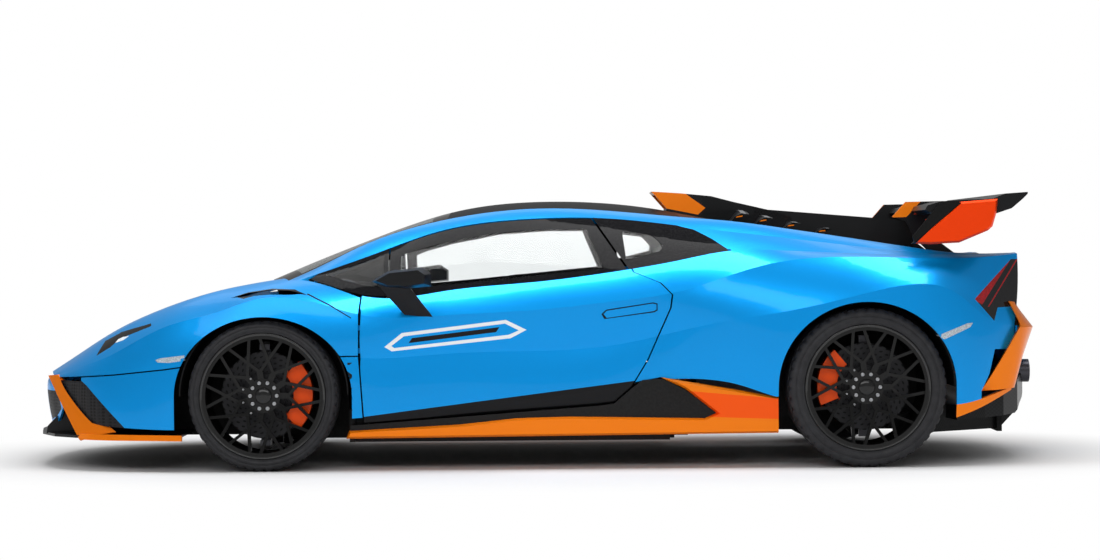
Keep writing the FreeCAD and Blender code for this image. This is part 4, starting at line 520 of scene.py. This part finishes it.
own_materials = {
    "door_left": door_paint,
    "door_right": door_paint,
    "roof_frame": paint("rail paint", blue, masks=[(inboard, pitch)]),
    # The front quarter pane is tinted far darker: painted shade
    "side_windows": glass("fixed glass", clear_glass, region(rear_clear, front_clear), painted_shade_outline=front_clear),
    "windscreen": glass("screen glass", screen_tint, screen_clear, gloss=0.04),
    "roof_panel": carbon("roof carbon", gloss=0.1),
    "engine_cover": carbon("cover carbon", gloss=0.3),
    # The lid carries painted shade: black over the vent's mouth
    "front_lid": paint("lid paint", blue, masks=[(vent_painted_shade, pitch)]),
    # The sill carries painted shade: a deeper orange where it lies in shade
    "side_sills": paint("sill paint", orange, 0.5, masks=[(region(sill_painted_shade), sill_painted_shade_orange)]),
    "exhaust_tips": metal("burnt steel", (0.07, 0.07, 0.08), 0.35),
    "roof_scoop": carbon("scoop carbon", [(region(scoop_front), orange)]),
    "wing_end_plates": paint("end plate paint", deep_orange, 0.5, masks=[
        (outboard_of(left_of(*plate_front)), pitch),
    ]),
    "wing_pylons": carbon("pylon carbon", [
        (outboard_of(region(pylon_front)), orange), (outboard_of(region(pylon_stripe)), deep_orange),
    ]),
    "tail_lamps": lens(
        "tail lamp", (0.005, 0.005, 0.006), (0.42, 0.003, 0.008), region(tail_glow, tail_line), 0.12, 90,
    ),
    "headlamps": paint("headlamp cover", blue, masks=[(region(lamp_low, lamp_high), lamp_dark)]),
}
for corner, side in corners:
    own_materials["brake_disc_" + corner] = drilled_disc("disc " + corner, middle_of("tyre_" + corner))
for piece in record["subparts"]:
    node = nodes[piece["node"]]
    node.data.materials.clear()
    node.data.materials.append(own_materials.get(piece["node"], materials[piece["material_slot"]]))
    for polygon in node.data.polygons:
        polygon.material_index = 0


# Mesh helpers
def finish_mesh(name, mesh_data, material, body, smooth=True):
    """Puts a mesh into the scene as a piece that rides on a body."""
    made = bpy.data.meshes.new(name)
    bmesh.ops.recalc_face_normals(mesh_data, faces=mesh_data.faces[:])
    mesh_data.to_mesh(made)
    mesh_data.free()
    made.materials.append(material)
    shown = bpy.data.objects.new(name, made)
    scene.collection.objects.link(shown)
    for polygon in made.polygons:
        polygon.use_smooth = smooth
    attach(shown, body)
    return shown


def surface_of(name):
    """A node's surface, for rays to meet."""
    mesh_data = bmesh.new()
    mesh_data.from_mesh(nodes[name].data)
    tree = BVHTree.FromBMesh(mesh_data)
    mesh_data.free()
    return tree


def side_hit(surface, x, z, side):
    """Where a ray from one side of the car first meets a surface, or None."""
    return surface.ray_cast(Vector((x, side * ray_side, z)), Vector((0, -side, 0)))[0]


def close_grids(made, tops, lows):
    """Faces over two grids of vertices and round the rim between them."""
    count = len(tops)
    width = len(tops[0])
    for i in range(count - 1):
        for j in range(width - 1):
            made.faces.new((tops[i][j], tops[i][j + 1], tops[i + 1][j + 1], tops[i + 1][j]))
            made.faces.new((lows[i][j], lows[i + 1][j], lows[i + 1][j + 1], lows[i][j + 1]))
    rim = [(0, j) for j in range(width)] + [(i, width - 1) for i in range(1, count)]
    rim += [(count - 1, j) for j in range(width - 2, -1, -1)] + [(i, 0) for i in range(count - 2, 0, -1)]
    for (a, b), (c, d) in zip(rim, rim[1:] + rim[:1]):
        made.faces.new((tops[a][b], tops[c][d], lows[c][d], lows[a][b]))


def ribbon(made, rows, shift):
    """A closed strip over rows of points, with its back moved by shift."""
    tops = [[made.verts.new(point) for point in row] for row in rows]
    lows = [[made.verts.new(point + Vector(shift)) for point in row] for row in rows]
    close_grids(made, tops, lows)


def lathe(made, profile, centre, segments, closed=True):
    """Turns (radius, y) points round the line along Y through centre."""
    rings = []
    for k in range(segments):
        turn = math.tau * k / segments
        x = math.cos(turn)
        z = math.sin(turn)
        rings.append([made.verts.new((centre.x + r * x, centre.y + y, centre.z + r * z)) for r, y in profile])
    count = len(profile)
    for here, after in zip(rings, rings[1:] + rings[:1]):
        for j in range(count if closed else count - 1):
            n = (j + 1) % count
            made.faces.new((here[j], here[n], after[n], after[j]))
    return rings


def knob(made, profile, centre, segments):
    """A turned piece with flat ends."""
    rings = lathe(made, profile, centre, segments, False)
    made.faces.new([ring[-1] for ring in rings])
    made.faces.new([ring[0] for ring in reversed(rings)])


# Tyres, in metres: how far they stay inside the solids' box, and the bead's radius
tyre_inset = 0.0005
bead_radius = 0.2545
tyre_segments = 288
# Rise over the bead, share of the sidewall's height, and depth from the tyre's side
flank_keys = [
    (0, 0, 0.034), (0.010, 0, 0.022), (0.0195, 0, 0.014), (0.0205, 0, 0.005), (0.0235, 0, 0.0035),
    (0.025, 0, 0.0055), (0.029, 0, 0.003), (0, 0.45, 0), (0, 0.58, 0.0005), (0, 0.60, 0.0035),
    (0, 0.63, 0.0035), (0, 0.65, 0.0015), (0, 0.8, 0.006), (-0.008, 1, 0.014), (-0.003, 1, 0.022),
]
# Tread grooves: place as a share of half the tyre's width, and width
tread_grooves = ((0.62, 0.011), (0.22, 0.013), (-0.22, 0.013), (-0.62, 0.011))
# A groove is wider at the tread and narrower at its foot by these on each side; the tread falls toward its sides
groove_depth = 0.0065
groove_lip = 0.0015
groove_foot = 0.001
tread_fall = 0.0012
# Cuts across the shoulders: segments from one to the next, segments that one takes, and depth
cut_pitch = 6
cut_segments = 2
cut_depth = 0.005
# The shoulder lies outside this share of half the width, and within this of the tread; faces near the tread are flat
shoulder_share = 0.66
shoulder_height = 0.011
flat_height = 0.012


def build_tyre(corner):
    """A tyre with ribbed sidewalls, a grooved tread and cuts across its shoulders."""
    low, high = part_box("tyre_" + corner)
    centre = middle_of("tyre_" + corner)
    outer = (high[2] - low[2]) / 2 - tyre_inset
    half = (high[1] - low[1]) / 2 - tyre_inset
    height = outer - bead_radius
    flank = [(bead_radius + rise + share * height, half - depth) for rise, share, depth in flank_keys]
    tread = []
    for place, groove in tread_grooves:
        y = place * half
        crown = outer - tread_fall * abs(place)
        floor_radius = outer - groove_depth
        tread += [
            (crown, y + groove / 2 + groove_lip), (floor_radius, y + groove / 2 - groove_foot),
            (floor_radius, y - groove / 2 + groove_foot), (crown, y - groove / 2 - groove_lip),
        ]
    profile = flank + tread + [(r, -y) for r, y in reversed(flank)]
    made = bmesh.new()
    rings = lathe(made, profile, centre, tyre_segments)
    shoulder = [
        i for i, (r, y) in enumerate(profile) if abs(y) > shoulder_share * half and r > outer - shoulder_height
    ]
    for k, ring in enumerate(rings):
        if k % cut_pitch < cut_segments:
            for i in shoulder:
                inward = centre - ring[i].co
                inward.y = 0
                ring[i].co += inward.normalized() * cut_depth
    tyre = finish_mesh("tyre_" + corner + "_tread", made, materials["tyre"], corner + "_wheel")
    for polygon in tyre.data.polygons:
        spread = Vector(polygon.center) - centre
        polygon.use_smooth = math.hypot(spread.x, spread.z) < outer - flat_height
    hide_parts("tyre_" + corner)


# Rim lips, caps and bolts
lip_black = black("lip lacquer", 0.012, 0.2, 0.8, 60)
cap_black = black("cap lacquer", 0.008, 0.25, 0.5, 80)
bolt_metal = metal("bolt metal", (0.55, 0.56, 0.58), 0.3)
# Radius, and depth from the tyre's side
lip_profile = [
    (0.2485, 0.020), (0.2485, 0.030), (0.2535, 0.026), (0.2655, 0.010), (0.2725, 0.008), (0.2725, 0.003),
    (0.2700, 0.0015), (0.2660, 0.003), (0.2560, 0.014),
]
# Radius, and height over the wheel's face; for bolts the radius is a share of their size
cap_profile = [(0.036, -0.003), (0.036, 0.004), (0.031, 0.009), (0.012, 0.011)]
bolt_profile = [(1, -0.004), (1, 0.005), (0.8, 0.007), (0.5, 0.007), (0.42, 0.003)]
# Rings of bolts: count, radius of the ring, size, and the first one's place as a share of their pitch
bolt_rings = ((10, 0.058, 0.0085, 0.0), (10, 0.092, 0.0045, 0.5))
# A bolt is left out where the rim lies further than this from the face; the ray for the face passes beside the axle
bolt_drop = 0.03
probe_shift = 0.008
lip_segments = 144
cap_segments = 48
bolt_segments = 12


def build_lip(corner, side):
    """The rim's flange in front of the tyre's bead, dished toward the spokes."""
    low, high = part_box("tyre_" + corner)
    half = (high[1] - low[1]) / 2
    made = bmesh.new()
    profile = [(r, side * (half - depth)) for r, depth in lip_profile]
    lathe(made, profile, middle_of("tyre_" + corner), lip_segments)
    finish_mesh("lip_" + corner, made, lip_black, corner + "_wheel")


def build_wheel_trim(corner, side):
    """A wheel's cap, and its bolts where the rim has a face to carry them."""
    centre = middle_of("rim_" + corner)
    surface = surface_of("rim_" + corner)
    face_y = side_hit(surface, centre.x + probe_shift, centre.z + probe_shift, side).y
    cap = bmesh.new()
    profile = [(r, side * y) for r, y in cap_profile]
    knob(cap, profile, Vector((centre.x, face_y, centre.z)), cap_segments)
    finish_mesh("cap_" + corner, cap, cap_black, corner + "_wheel")
    bolts = bmesh.new()
    for count, ring_radius, size, start in bolt_rings:
        for k in range(count):
            turn = math.tau * (k + start) / count
            x = centre.x + ring_radius * math.cos(turn)
            z = centre.z + ring_radius * math.sin(turn)
            foot = side_hit(surface, x, z, side)
            if foot is None or abs(foot.y - face_y) > bolt_drop:
                continue
            profile = [(r * size, side * y) for r, y in bolt_profile]
            knob(bolts, profile, Vector((x, foot.y, z)), bolt_segments)
    finish_mesh("bolts_" + corner, bolts, bolt_metal, corner + "_wheel")


for corner, side in corners:
    build_tyre(corner)
    build_lip(corner, side)
    build_wheel_trim(corner, side)

# Small plates on the body's sides: the facets' size, the most rounds of splitting, and y where a ray finds no panel
plate_cell = 0.02
plate_rounds = 6
missed_y = 0.9
surfaces = {}


def patch(name, outline, node, side, proud, depth, material, body, cell):
    """A thin plate that follows a panel's outside, with its outline given in the side view."""
    if node not in surfaces:
        surfaces[node] = surface_of(node)
    made = bmesh.new()
    made.faces.new([made.verts.new((x, 0, z)) for x, z in outline])
    bmesh.ops.triangulate(made, faces=made.faces[:])
    for _ in range(plate_rounds):
        long_edges = [edge for edge in made.edges if edge.calc_length() > cell]
        if not long_edges:
            break
        bmesh.ops.subdivide_edges(made, edges=long_edges, cuts=1)
        bmesh.ops.triangulate(made, faces=made.faces[:])
    for vert in made.verts:
        hit = side_hit(surfaces[node], vert.co.x, vert.co.z, side)
        vert.co.y = (hit.y if hit else side * missed_y) + side * proud
    extruded = bmesh.ops.extrude_face_region(made, geom=made.faces[:])
    back = [item for item in extruded["geom"] if isinstance(item, bmesh.types.BMVert)]
    bmesh.ops.translate(made, verts=back, vec=(0, -side * depth, 0))
    finish_mesh(name, made, material, body, False)


marker_clear = lamp_glow("marker lens", (0.62, 0.72, 0.8), 0.1, 200)
seam_black = black("seam rubber", 0.006, 0.7, 0.0, 120)
# Glow for the headlamp strip: partly a daytime lamp, partly a painted highlight
strip_glow_and_glint = lamp_glow("lamp light", (0.8, 0.85, 0.9), 0.5, 300)
door_handle = [
    (0.300, 0.655), (0.286, 0.672), (0.300, 0.686), (0.500, 0.716), (0.516, 0.712), (0.516, 0.690), (0.505, 0.683),
]
handle_slot = [
    (0.29, 0.650), (0.277, 0.672), (0.298, 0.691), (0.502, 0.721), (0.521, 0.716), (0.521, 0.686), (0.508, 0.678),
]
front_marker = [(-1.661, 0.486), (-1.640, 0.494), (-1.530, 0.507), (-1.532, 0.484), (-1.600, 0.474), (-1.651, 0.476)]
rear_marker = [(1.729, 0.569), (1.862, 0.620), (1.888, 0.622), (1.875, 0.603), (1.758, 0.552)]
# A glowing strip in the headlamp, cut to the size and place of a glint: partly a lamp, partly a painted highlight
lamp_strip_glint = [(-1.835, 0.562), (-1.822, 0.578), (-1.800, 0.588), (-1.775, 0.592), (-1.800, 0.574)]
lid_seam = [(-0.999, 0.771), (-0.900, 0.722), (-0.808, 0.665), (-0.808, 0.660), (-0.902, 0.717), (-1.001, 0.766)]
# Name, outline, panel, height over the panel, thickness, material, body, slot and size of the facets
plates = (
    ("door_handle_", door_handle, "door_{}", 0.0022, 0.006, blue_paint, "door_{}", "paint_blue", plate_cell),
    ("handle_slot_", handle_slot, "door_{}", 0.0006, 0.003, seam_black, "door_{}", "black_satin", plate_cell),
    ("front_marker_", front_marker, "front_lid", 0.002, 0.006, marker_clear, "front_lid", "lamp_front", plate_cell),
    ("rear_marker_", rear_marker, "rear_quarters", 0.002, 0.006, marker_clear, "chassis", "lamp_front", plate_cell),
    # The headlamp strip below glows as a painted highlight as well as a lamp
    ("lamp_strip_glint_", lamp_strip_glint, "headlamps", 0.0015, 0.003, strip_glow_and_glint, "front_lid", "lamp_front", plate_cell),
    ("lid_seam_", lid_seam, "front_lid", 0.0004, 0.002, seam_black, "front_lid", "black_satin", plate_cell / 2),
)
for side_name, side in sides:
    for name, outline, panel, proud, depth, material, body, slot, cell in plates:
        patch(
            name + side_name, outline, panel.format(side_name), side, proud, depth, material,
            body.format(side_name), cell,
        )

# Black leading edges on the wing's end plates: an upper and a lower row of points (x, z)
plate_edge = (((1.755, 1.145), (1.846, 1.145)), ((1.631, 0.997), (1.640, 0.970)))
plate_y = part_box("wing_end_plates")[1][1]
edge_inset = 0.002
edge_thickness = 0.008
for side_name, side in sides:
    made = bmesh.new()
    rows = [[Vector((x, side * (plate_y - edge_inset), z)) for x, z in row] for row in plate_edge]
    ribbon(made, rows, (0, -side * edge_thickness, 0))
    finish_mesh("plate_edge_" + side_name, made, seam_black, "chassis", False)

# Louvre blades over the engine cover: each leans back and ends in a flat lip
cover_surface = surface_of("engine_cover")
louvre_black = carbon("louvre carbon", level=0.8, gloss=0.5)
louvre_grey = metal("louvre lip", (0.30, 0.31, 0.33), 0.35)
louvre_orange = paint("louvre orange", orange, 0.4)
# The foot's x and the rise of each blade
louvre_keys = [(0.868, 0.058), (0.975, 0.056), (1.100, 0.052), (1.240, 0.048)]
louvre_rows = 8
louvre_start_y = 0.17
louvre_pitch_y = 0.045
# Points along a blade from its foot: how far back, share of its rise, and height over that
blade_keys = ((0, 0, -0.002), (0.022, 0.4, 0), (0.050, 1, 0), (0.085, 1, -0.006))
# Outboard rows sink by up to this share of the rise, but not the two points nearest the foot
louvre_drop = 0.35
# Where a ray misses the cover, the foot lies this far over the point nearest the foot in the last row
louvre_step = 0.004
# The lip runs from before a blade's edge to behind it, and the outer rows have an accent on their upright
lip_reach = (Vector((-0.004, 0, 0.0015)), Vector((0.020, 0, -0.001)))
accent_reach = (Vector((0.004, 0, 0)), Vector((0.004, 0, -0.010)))
accent_rows = 2
blade_thickness = 0.004
lip_thickness = 0.003
accent_thickness = 0.005


def blade_row(foot_x, rise, across, drop, foot_z):
    """The points of a blade at one place across the car, from its foot to its tip."""
    row = [Vector((foot_x + back, across, foot_z + share * rise + lift)) for back, share, lift in blade_keys]
    for point in row[2:]:
        point.z -= drop
    return row


for side_name, side in sides:
    blades = bmesh.new()
    lips = bmesh.new()
    accents = bmesh.new()
    for foot_x, rise in louvre_keys:
        rows = []
        for k in range(louvre_rows):
            across = side * (louvre_start_y + louvre_pitch_y * k)
            hit = cover_surface.ray_cast(Vector((foot_x, across, ray_top)), Vector((0, 0, -1)))[0]
            foot_z = hit.z if hit else rows[-1][0].z + louvre_step
            drop = louvre_drop * rise * (k / (louvre_rows - 1)) ** 2
            rows.append(blade_row(foot_x, rise, across, drop, foot_z))
        lip_rows = [[row[2] + shift for shift in lip_reach] for row in rows]
        end_rows = [[row[1] + accent_reach[0], row[2] + accent_reach[1]] for row in rows[-accent_rows:]]
        ribbon(blades, rows, (0, 0, -blade_thickness))
        ribbon(lips, lip_rows, (0, 0, -lip_thickness))
        ribbon(accents, end_rows, (0, 0, -accent_thickness))
    finish_mesh("louvre_blades_" + side_name, blades, louvre_black, "chassis", False)
    finish_mesh("louvre_lips_" + side_name, lips, louvre_grey, "chassis", False)
    finish_mesh("louvre_accents_" + side_name, accents, louvre_orange, "chassis", False)

# Light lines in the tail lamps, as seen from behind: three that meet at a fork, with their ends (y, z)
tail_surface = surface_of("tail_lamps")
tail_red = lamp_glow("tail light", (0.8, 0.006, 0.012), 0.6, 220)
tail_fork = (0.590, 0.806)
tail_tips = ((0.720, 0.838), (0.400, 0.834), (0.460, 0.784))
tail_half = 0.008
tail_proud = 0.0015
tail_thickness = 0.004
tail_rows = 14


def back_strip(made, start, end, side):
    """A raised line on the tail lamps from start to end, as far as the lamps reach."""
    across = Vector((-(end[1] - start[1]), end[0] - start[0])).normalized() * tail_half
    rows = []
    for k in range(tail_rows):
        t = k / (tail_rows - 1)
        row = []
        for sign in (-1, 1):
            y = side * (start[0] + (end[0] - start[0]) * t + sign * across[0])
            z = start[1] + (end[1] - start[1]) * t + sign * across[1]
            hit = tail_surface.ray_cast(Vector((ray_back, y, z)), Vector((-1, 0, 0)))[0]
            if hit:
                row.append(Vector((hit.x + tail_proud, y, z)))
        if len(row) < 2:
            break
        rows.append(row)
    ribbon(made, rows, (-tail_thickness, 0, 0))


for side_name, side in sides:
    lines = bmesh.new()
    for tip in tail_tips:
        back_strip(lines, tail_fork, tip, side)
    finish_mesh("tail_lines_" + side_name, lines, tail_red, "chassis", False)

# Two tabs on the tub stand out of the car's skin in the solids: their ends are hidden here
tab_end_y = 0.937
tab_front_x = -0.84
tab_back_x = -0.79
tub = nodes["cabin_tub"]
hidden = tub.vertex_groups.new(name="tab_ends")
tab_ends = [
    vert.index for vert in tub.data.vertices
    if abs(vert.co.y) > tab_end_y and tab_front_x < vert.co.x < tab_back_x
]
hidden.add(tab_ends, 1.0, "REPLACE")
cut = tub.modifiers.new("tab ends", "MASK")
cut.vertex_group = "tab_ends"
cut.invert_vertex_group = True


# Seats: a hard shell with padded cushions laid in it. A seat is flat across this share of its half width, and then
# its bolsters rise by a power
seat_columns = 13
seat_flat = 0.45
bolster_power = 1.6
# A slab thins to this share at its rim. A channel sinks by this share of the seam, and this makes it narrow
rim_share = 0.35
channel_share = 0.6
channel_narrow = 1.1
slab_levels = 2


def seat_out(lean):
    """The direction out of a seat's surface."""
    return Vector((-math.sin(lean), 0, math.cos(lean)))


def seat_sheet(keys):
    """Rows of points across a seat, one row for each (x, z, lean, half width, bolster); bolsters lift its sides."""
    rows = []
    for x, z, lean, half_width, bolster in keys:
        row = []
        for j in range(seat_columns):
            t = 2 * j / (seat_columns - 1) - 1
            rise = bolster * max(0, (abs(t) - seat_flat) / (1 - seat_flat)) ** bolster_power
            row.append(Vector((x, t * half_width, z)) + seat_out(lean) * rise)
        rows.append(row)
    return rows


def slab(name, rows, depth, crown, material, y, seam, channels=()):
    """A closed pad on rows of points: crowned in its middle, thin at its rim, sewn in along its channels."""
    made = bmesh.new()
    count = len(rows)
    width = len(rows[0])
    tops = []
    lows = []
    for i, row in enumerate(rows):
        top_row = []
        low_row = []
        for j, point in enumerate(row):
            before = rows[max(i - 1, 0)][j]
            after = rows[min(i + 1, count - 1)][j]
            left = row[max(j - 1, 0)]
            right = row[min(j + 1, width - 1)]
            out = (right - left).cross(before - after).normalized()
            u = abs(2 * i / (count - 1) - 1)
            v = abs(2 * j / (width - 1) - 1)
            bulge = crown * (1 - u ** 4) * (1 - v ** 4)
            for channel in channels:
                off = (i / (count - 1) - channel) * count * channel_narrow
                bulge -= channel_share * seam * math.exp(-off ** 2)
            thin = depth * (rim_share if u == 1 or v == 1 else 1)
            shift = Vector((0, y, 0))
            top_row.append(made.verts.new(point + shift + out * (thin / 2 + bulge)))
            low_row.append(made.verts.new(point + shift - out * thin / 2))
        tops.append(top_row)
        lows.append(low_row)
    close_grids(made, tops, lows)
    shown = finish_mesh(name, made, material, "chassis")
    smooth = shown.modifiers.new("smooth", "SUBSURF")
    smooth.levels = slab_levels
    smooth.render_levels = slab_levels
    return shown


def interpolate(keys, count):
    """Smooth places along key values."""
    values = []
    for k in range(count):
        t = k / (count - 1) * (len(keys) - 1)
        i = min(int(t), len(keys) - 2)
        f = t - i
        f = f * f * (3 - 2 * f)
        values.append(tuple(a + (b - a) * f for a, b in zip(keys[i], keys[i + 1])))
    return values


shell_black = carbon("seat carbon", level=1.4)
pad_cloth = cloth("seat suede", (0.022, 0.022, 0.025), 500)
stripe_cloth = cloth("seat accent", (0.75, 0.12, 0.01), 500)
seat_y = 0.369
seat_rows = 34
shell_depth = 0.016
# Pads: thickness, height over the shell, share of its bolsters, and how deep their channels are sewn
pad_depth = 0.020
pad_lift = 0.018
pad_bolster = 0.9
pad_seam = 0.02
# x, z, lean, half width, bolster: from the front of the cushion up to the head
seat_keys = [
    (-0.215, 0.315, 0.10, 0.215, 0.030), (-0.130, 0.318, 0.02, 0.222, 0.055), (0.000, 0.300, -0.10, 0.225, 0.075),
    (0.110, 0.276, -0.20, 0.225, 0.080), (0.195, 0.268, 0.30, 0.222, 0.085), (0.250, 0.330, 1.05, 0.224, 0.090),
    (0.300, 0.430, 1.18, 0.228, 0.090), (0.345, 0.540, 1.20, 0.224, 0.080), (0.385, 0.640, 1.22, 0.200, 0.060),
    (0.420, 0.720, 1.24, 0.140, 0.035), (0.450, 0.780, 1.26, 0.125, 0.020), (0.468, 0.815, 1.28, 0.110, 0.010),
]
# Part, first and last row, share of the seat's width, crown, channels, cover
seat_parts = (
    ("base", 2, 13, 0.86, 0.026, (0.3, 0.55, 0.8), pad_cloth),
    ("back", 16, 26, 0.84, 0.024, (0.25, 0.5, 0.75), pad_cloth),
    ("head", 28, 32, 0.8, 0.020, (), stripe_cloth),
)
seat_path = interpolate(seat_keys, seat_rows)
for side_name, side in sides:
    y = side * seat_y
    shell = slab("seat_shell_" + side_name, seat_sheet(seat_path), shell_depth, 0, shell_black, y, 0)
    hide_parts("seats")
    for part, first, last, narrow, crown, channels, cover in seat_parts:
        lifted = []
        for x, z, lean, half_width, bolster in seat_path[first:last + 1]:
            out = seat_out(lean) * pad_lift
            lifted.append((x + out.x, z + out.z, lean, half_width * narrow, bolster * pad_bolster))
        name = "seat_" + part + "_" + side_name
        pad = slab(name, seat_sheet(lifted), pad_depth, crown, cover, y, pad_seam, channels)

# Camera at the photograph's viewpoint: it looks level, rolled a little, with the horizon where the photograph has it
camera_data = bpy.data.cameras.new("camera")
camera = bpy.data.objects.new("camera", camera_data)
scene.collection.objects.link(camera)
camera.location = (camera_x, -camera_distance, camera_height)
camera.rotation_euler = (math.pi / 2, camera_roll, 0)
camera_data.sensor_width = sensor_mm
camera_data.lens = focal_pixels / photo_width * sensor_mm
camera_data.shift_y = (horizon_row - photo_height / 2) / photo_width
camera_data.clip_end = camera_far
scene.camera = camera


def seen_by(tree, *rays):
    """1 for the kinds of ray that are named."""
    path = tree.nodes.new("ShaderNodeLightPath")
    return joined(tree, "MAXIMUM", [path.outputs[ray] for ray in rays])


# Pale floor that fades to white away from the car, also for rays that metal and glass send on
floor_half = 60
floor_fade_start = 0.6
floor_fade_end = 0.98
floor_mesh = bpy.data.meshes.new("floor")
floor_corners = [(x * floor_half, y * floor_half, 0) for x, y in ((-1, -1), (1, -1), (1, 1), (-1, 1))]
floor_mesh.from_pydata(floor_corners, [], [(0, 1, 2, 3)])
floor = bpy.data.objects.new("floor", floor_mesh)
scene.collection.objects.link(floor)
floor_material, floor_tree, floor_shader = new_material("pale floor")
floor_grain = ramp(floor_tree, noise(floor_tree, 3, 2), [(0.2, (0.65, 0.65, 0.655)), (0.8, (0.67, 0.67, 0.675))])
set_tint(floor_tree, floor_shader, floor_grain)
floor_shader.inputs["Roughness"].default_value = 0.7
glow = floor_tree.nodes.new("ShaderNodeEmission")
glow.inputs["Color"].default_value = (1, 1, 1, 1)
blend = floor_tree.nodes.new("ShaderNodeMixShader")
reach = floor_tree.nodes.new("ShaderNodeVectorMath")
reach.operation = "LENGTH"
floor_tree.links.new(coordinates(floor_tree, (0.3, 0.45, 1)), reach.inputs[0])
fade = floor_tree.nodes.new("ShaderNodeMapRange")
fade.interpolation_type = "SMOOTHSTEP"
set_sockets(fade, {"From Min": floor_fade_start, "From Max": floor_fade_end})
floor_tree.links.new(reach.outputs["Value"], fade.inputs["Value"])
seen = seen_by(floor_tree, "Is Camera Ray", "Is Glossy Ray", "Is Transmission Ray")
floor_tree.links.new(maths(floor_tree, "MULTIPLY", fade.outputs[0], seen), blend.inputs["Fac"])
floor_tree.links.new(floor_shader.outputs[0], blend.inputs[1])
floor_tree.links.new(glow.outputs[0], blend.inputs[2])
floor_tree.links.new(blend.outputs[0], floor_tree.nodes["Material Output"].inputs["Surface"])
floor_mesh.materials.append(floor_material)

# Soft lights: name, place, aim, size in x and y, power
soft_lights = (
    ("overhead", (0, -0.8, 5.5), (0, 0, 0), 6.5, 2.4, 400),
    ("near side", (-1, -8, 4.4), (0, 0, 0.7), 10, 2.2, 230),
    ("far side", (0, 6, 6.0), (0, 0, 0.6), 9, 2.5, 50),
)
for name, place, aim, size_x, size_y, power in soft_lights:
    light_data = bpy.data.lights.new(name, "AREA")
    light_data.shape = "RECTANGLE"
    light_data.size = size_x
    light_data.size_y = size_y
    light_data.energy = power
    light = bpy.data.objects.new(name, light_data)
    scene.collection.objects.link(light)
    light.location = place
    light.rotation_euler = (Vector(aim) - Vector(place)).to_track_quat("-Z", "Y").to_euler()

# The world: white where it is seen, dimmer as light
world_level = 0.36
world = bpy.data.worlds.new("world")
world.use_nodes = True
world_tree = world.node_tree
background = world_tree.nodes["Background"]
background.inputs["Color"].default_value = (1, 1, 1, 1)
seen = seen_by(world_tree, "Is Camera Ray", "Is Transmission Ray")
strength = maths(world_tree, "ADD", maths(world_tree, "MULTIPLY", seen, 1 - world_level), world_level)
world_tree.links.new(strength, background.inputs["Strength"])
scene.world = world
scene.view_settings.view_transform = "Standard"
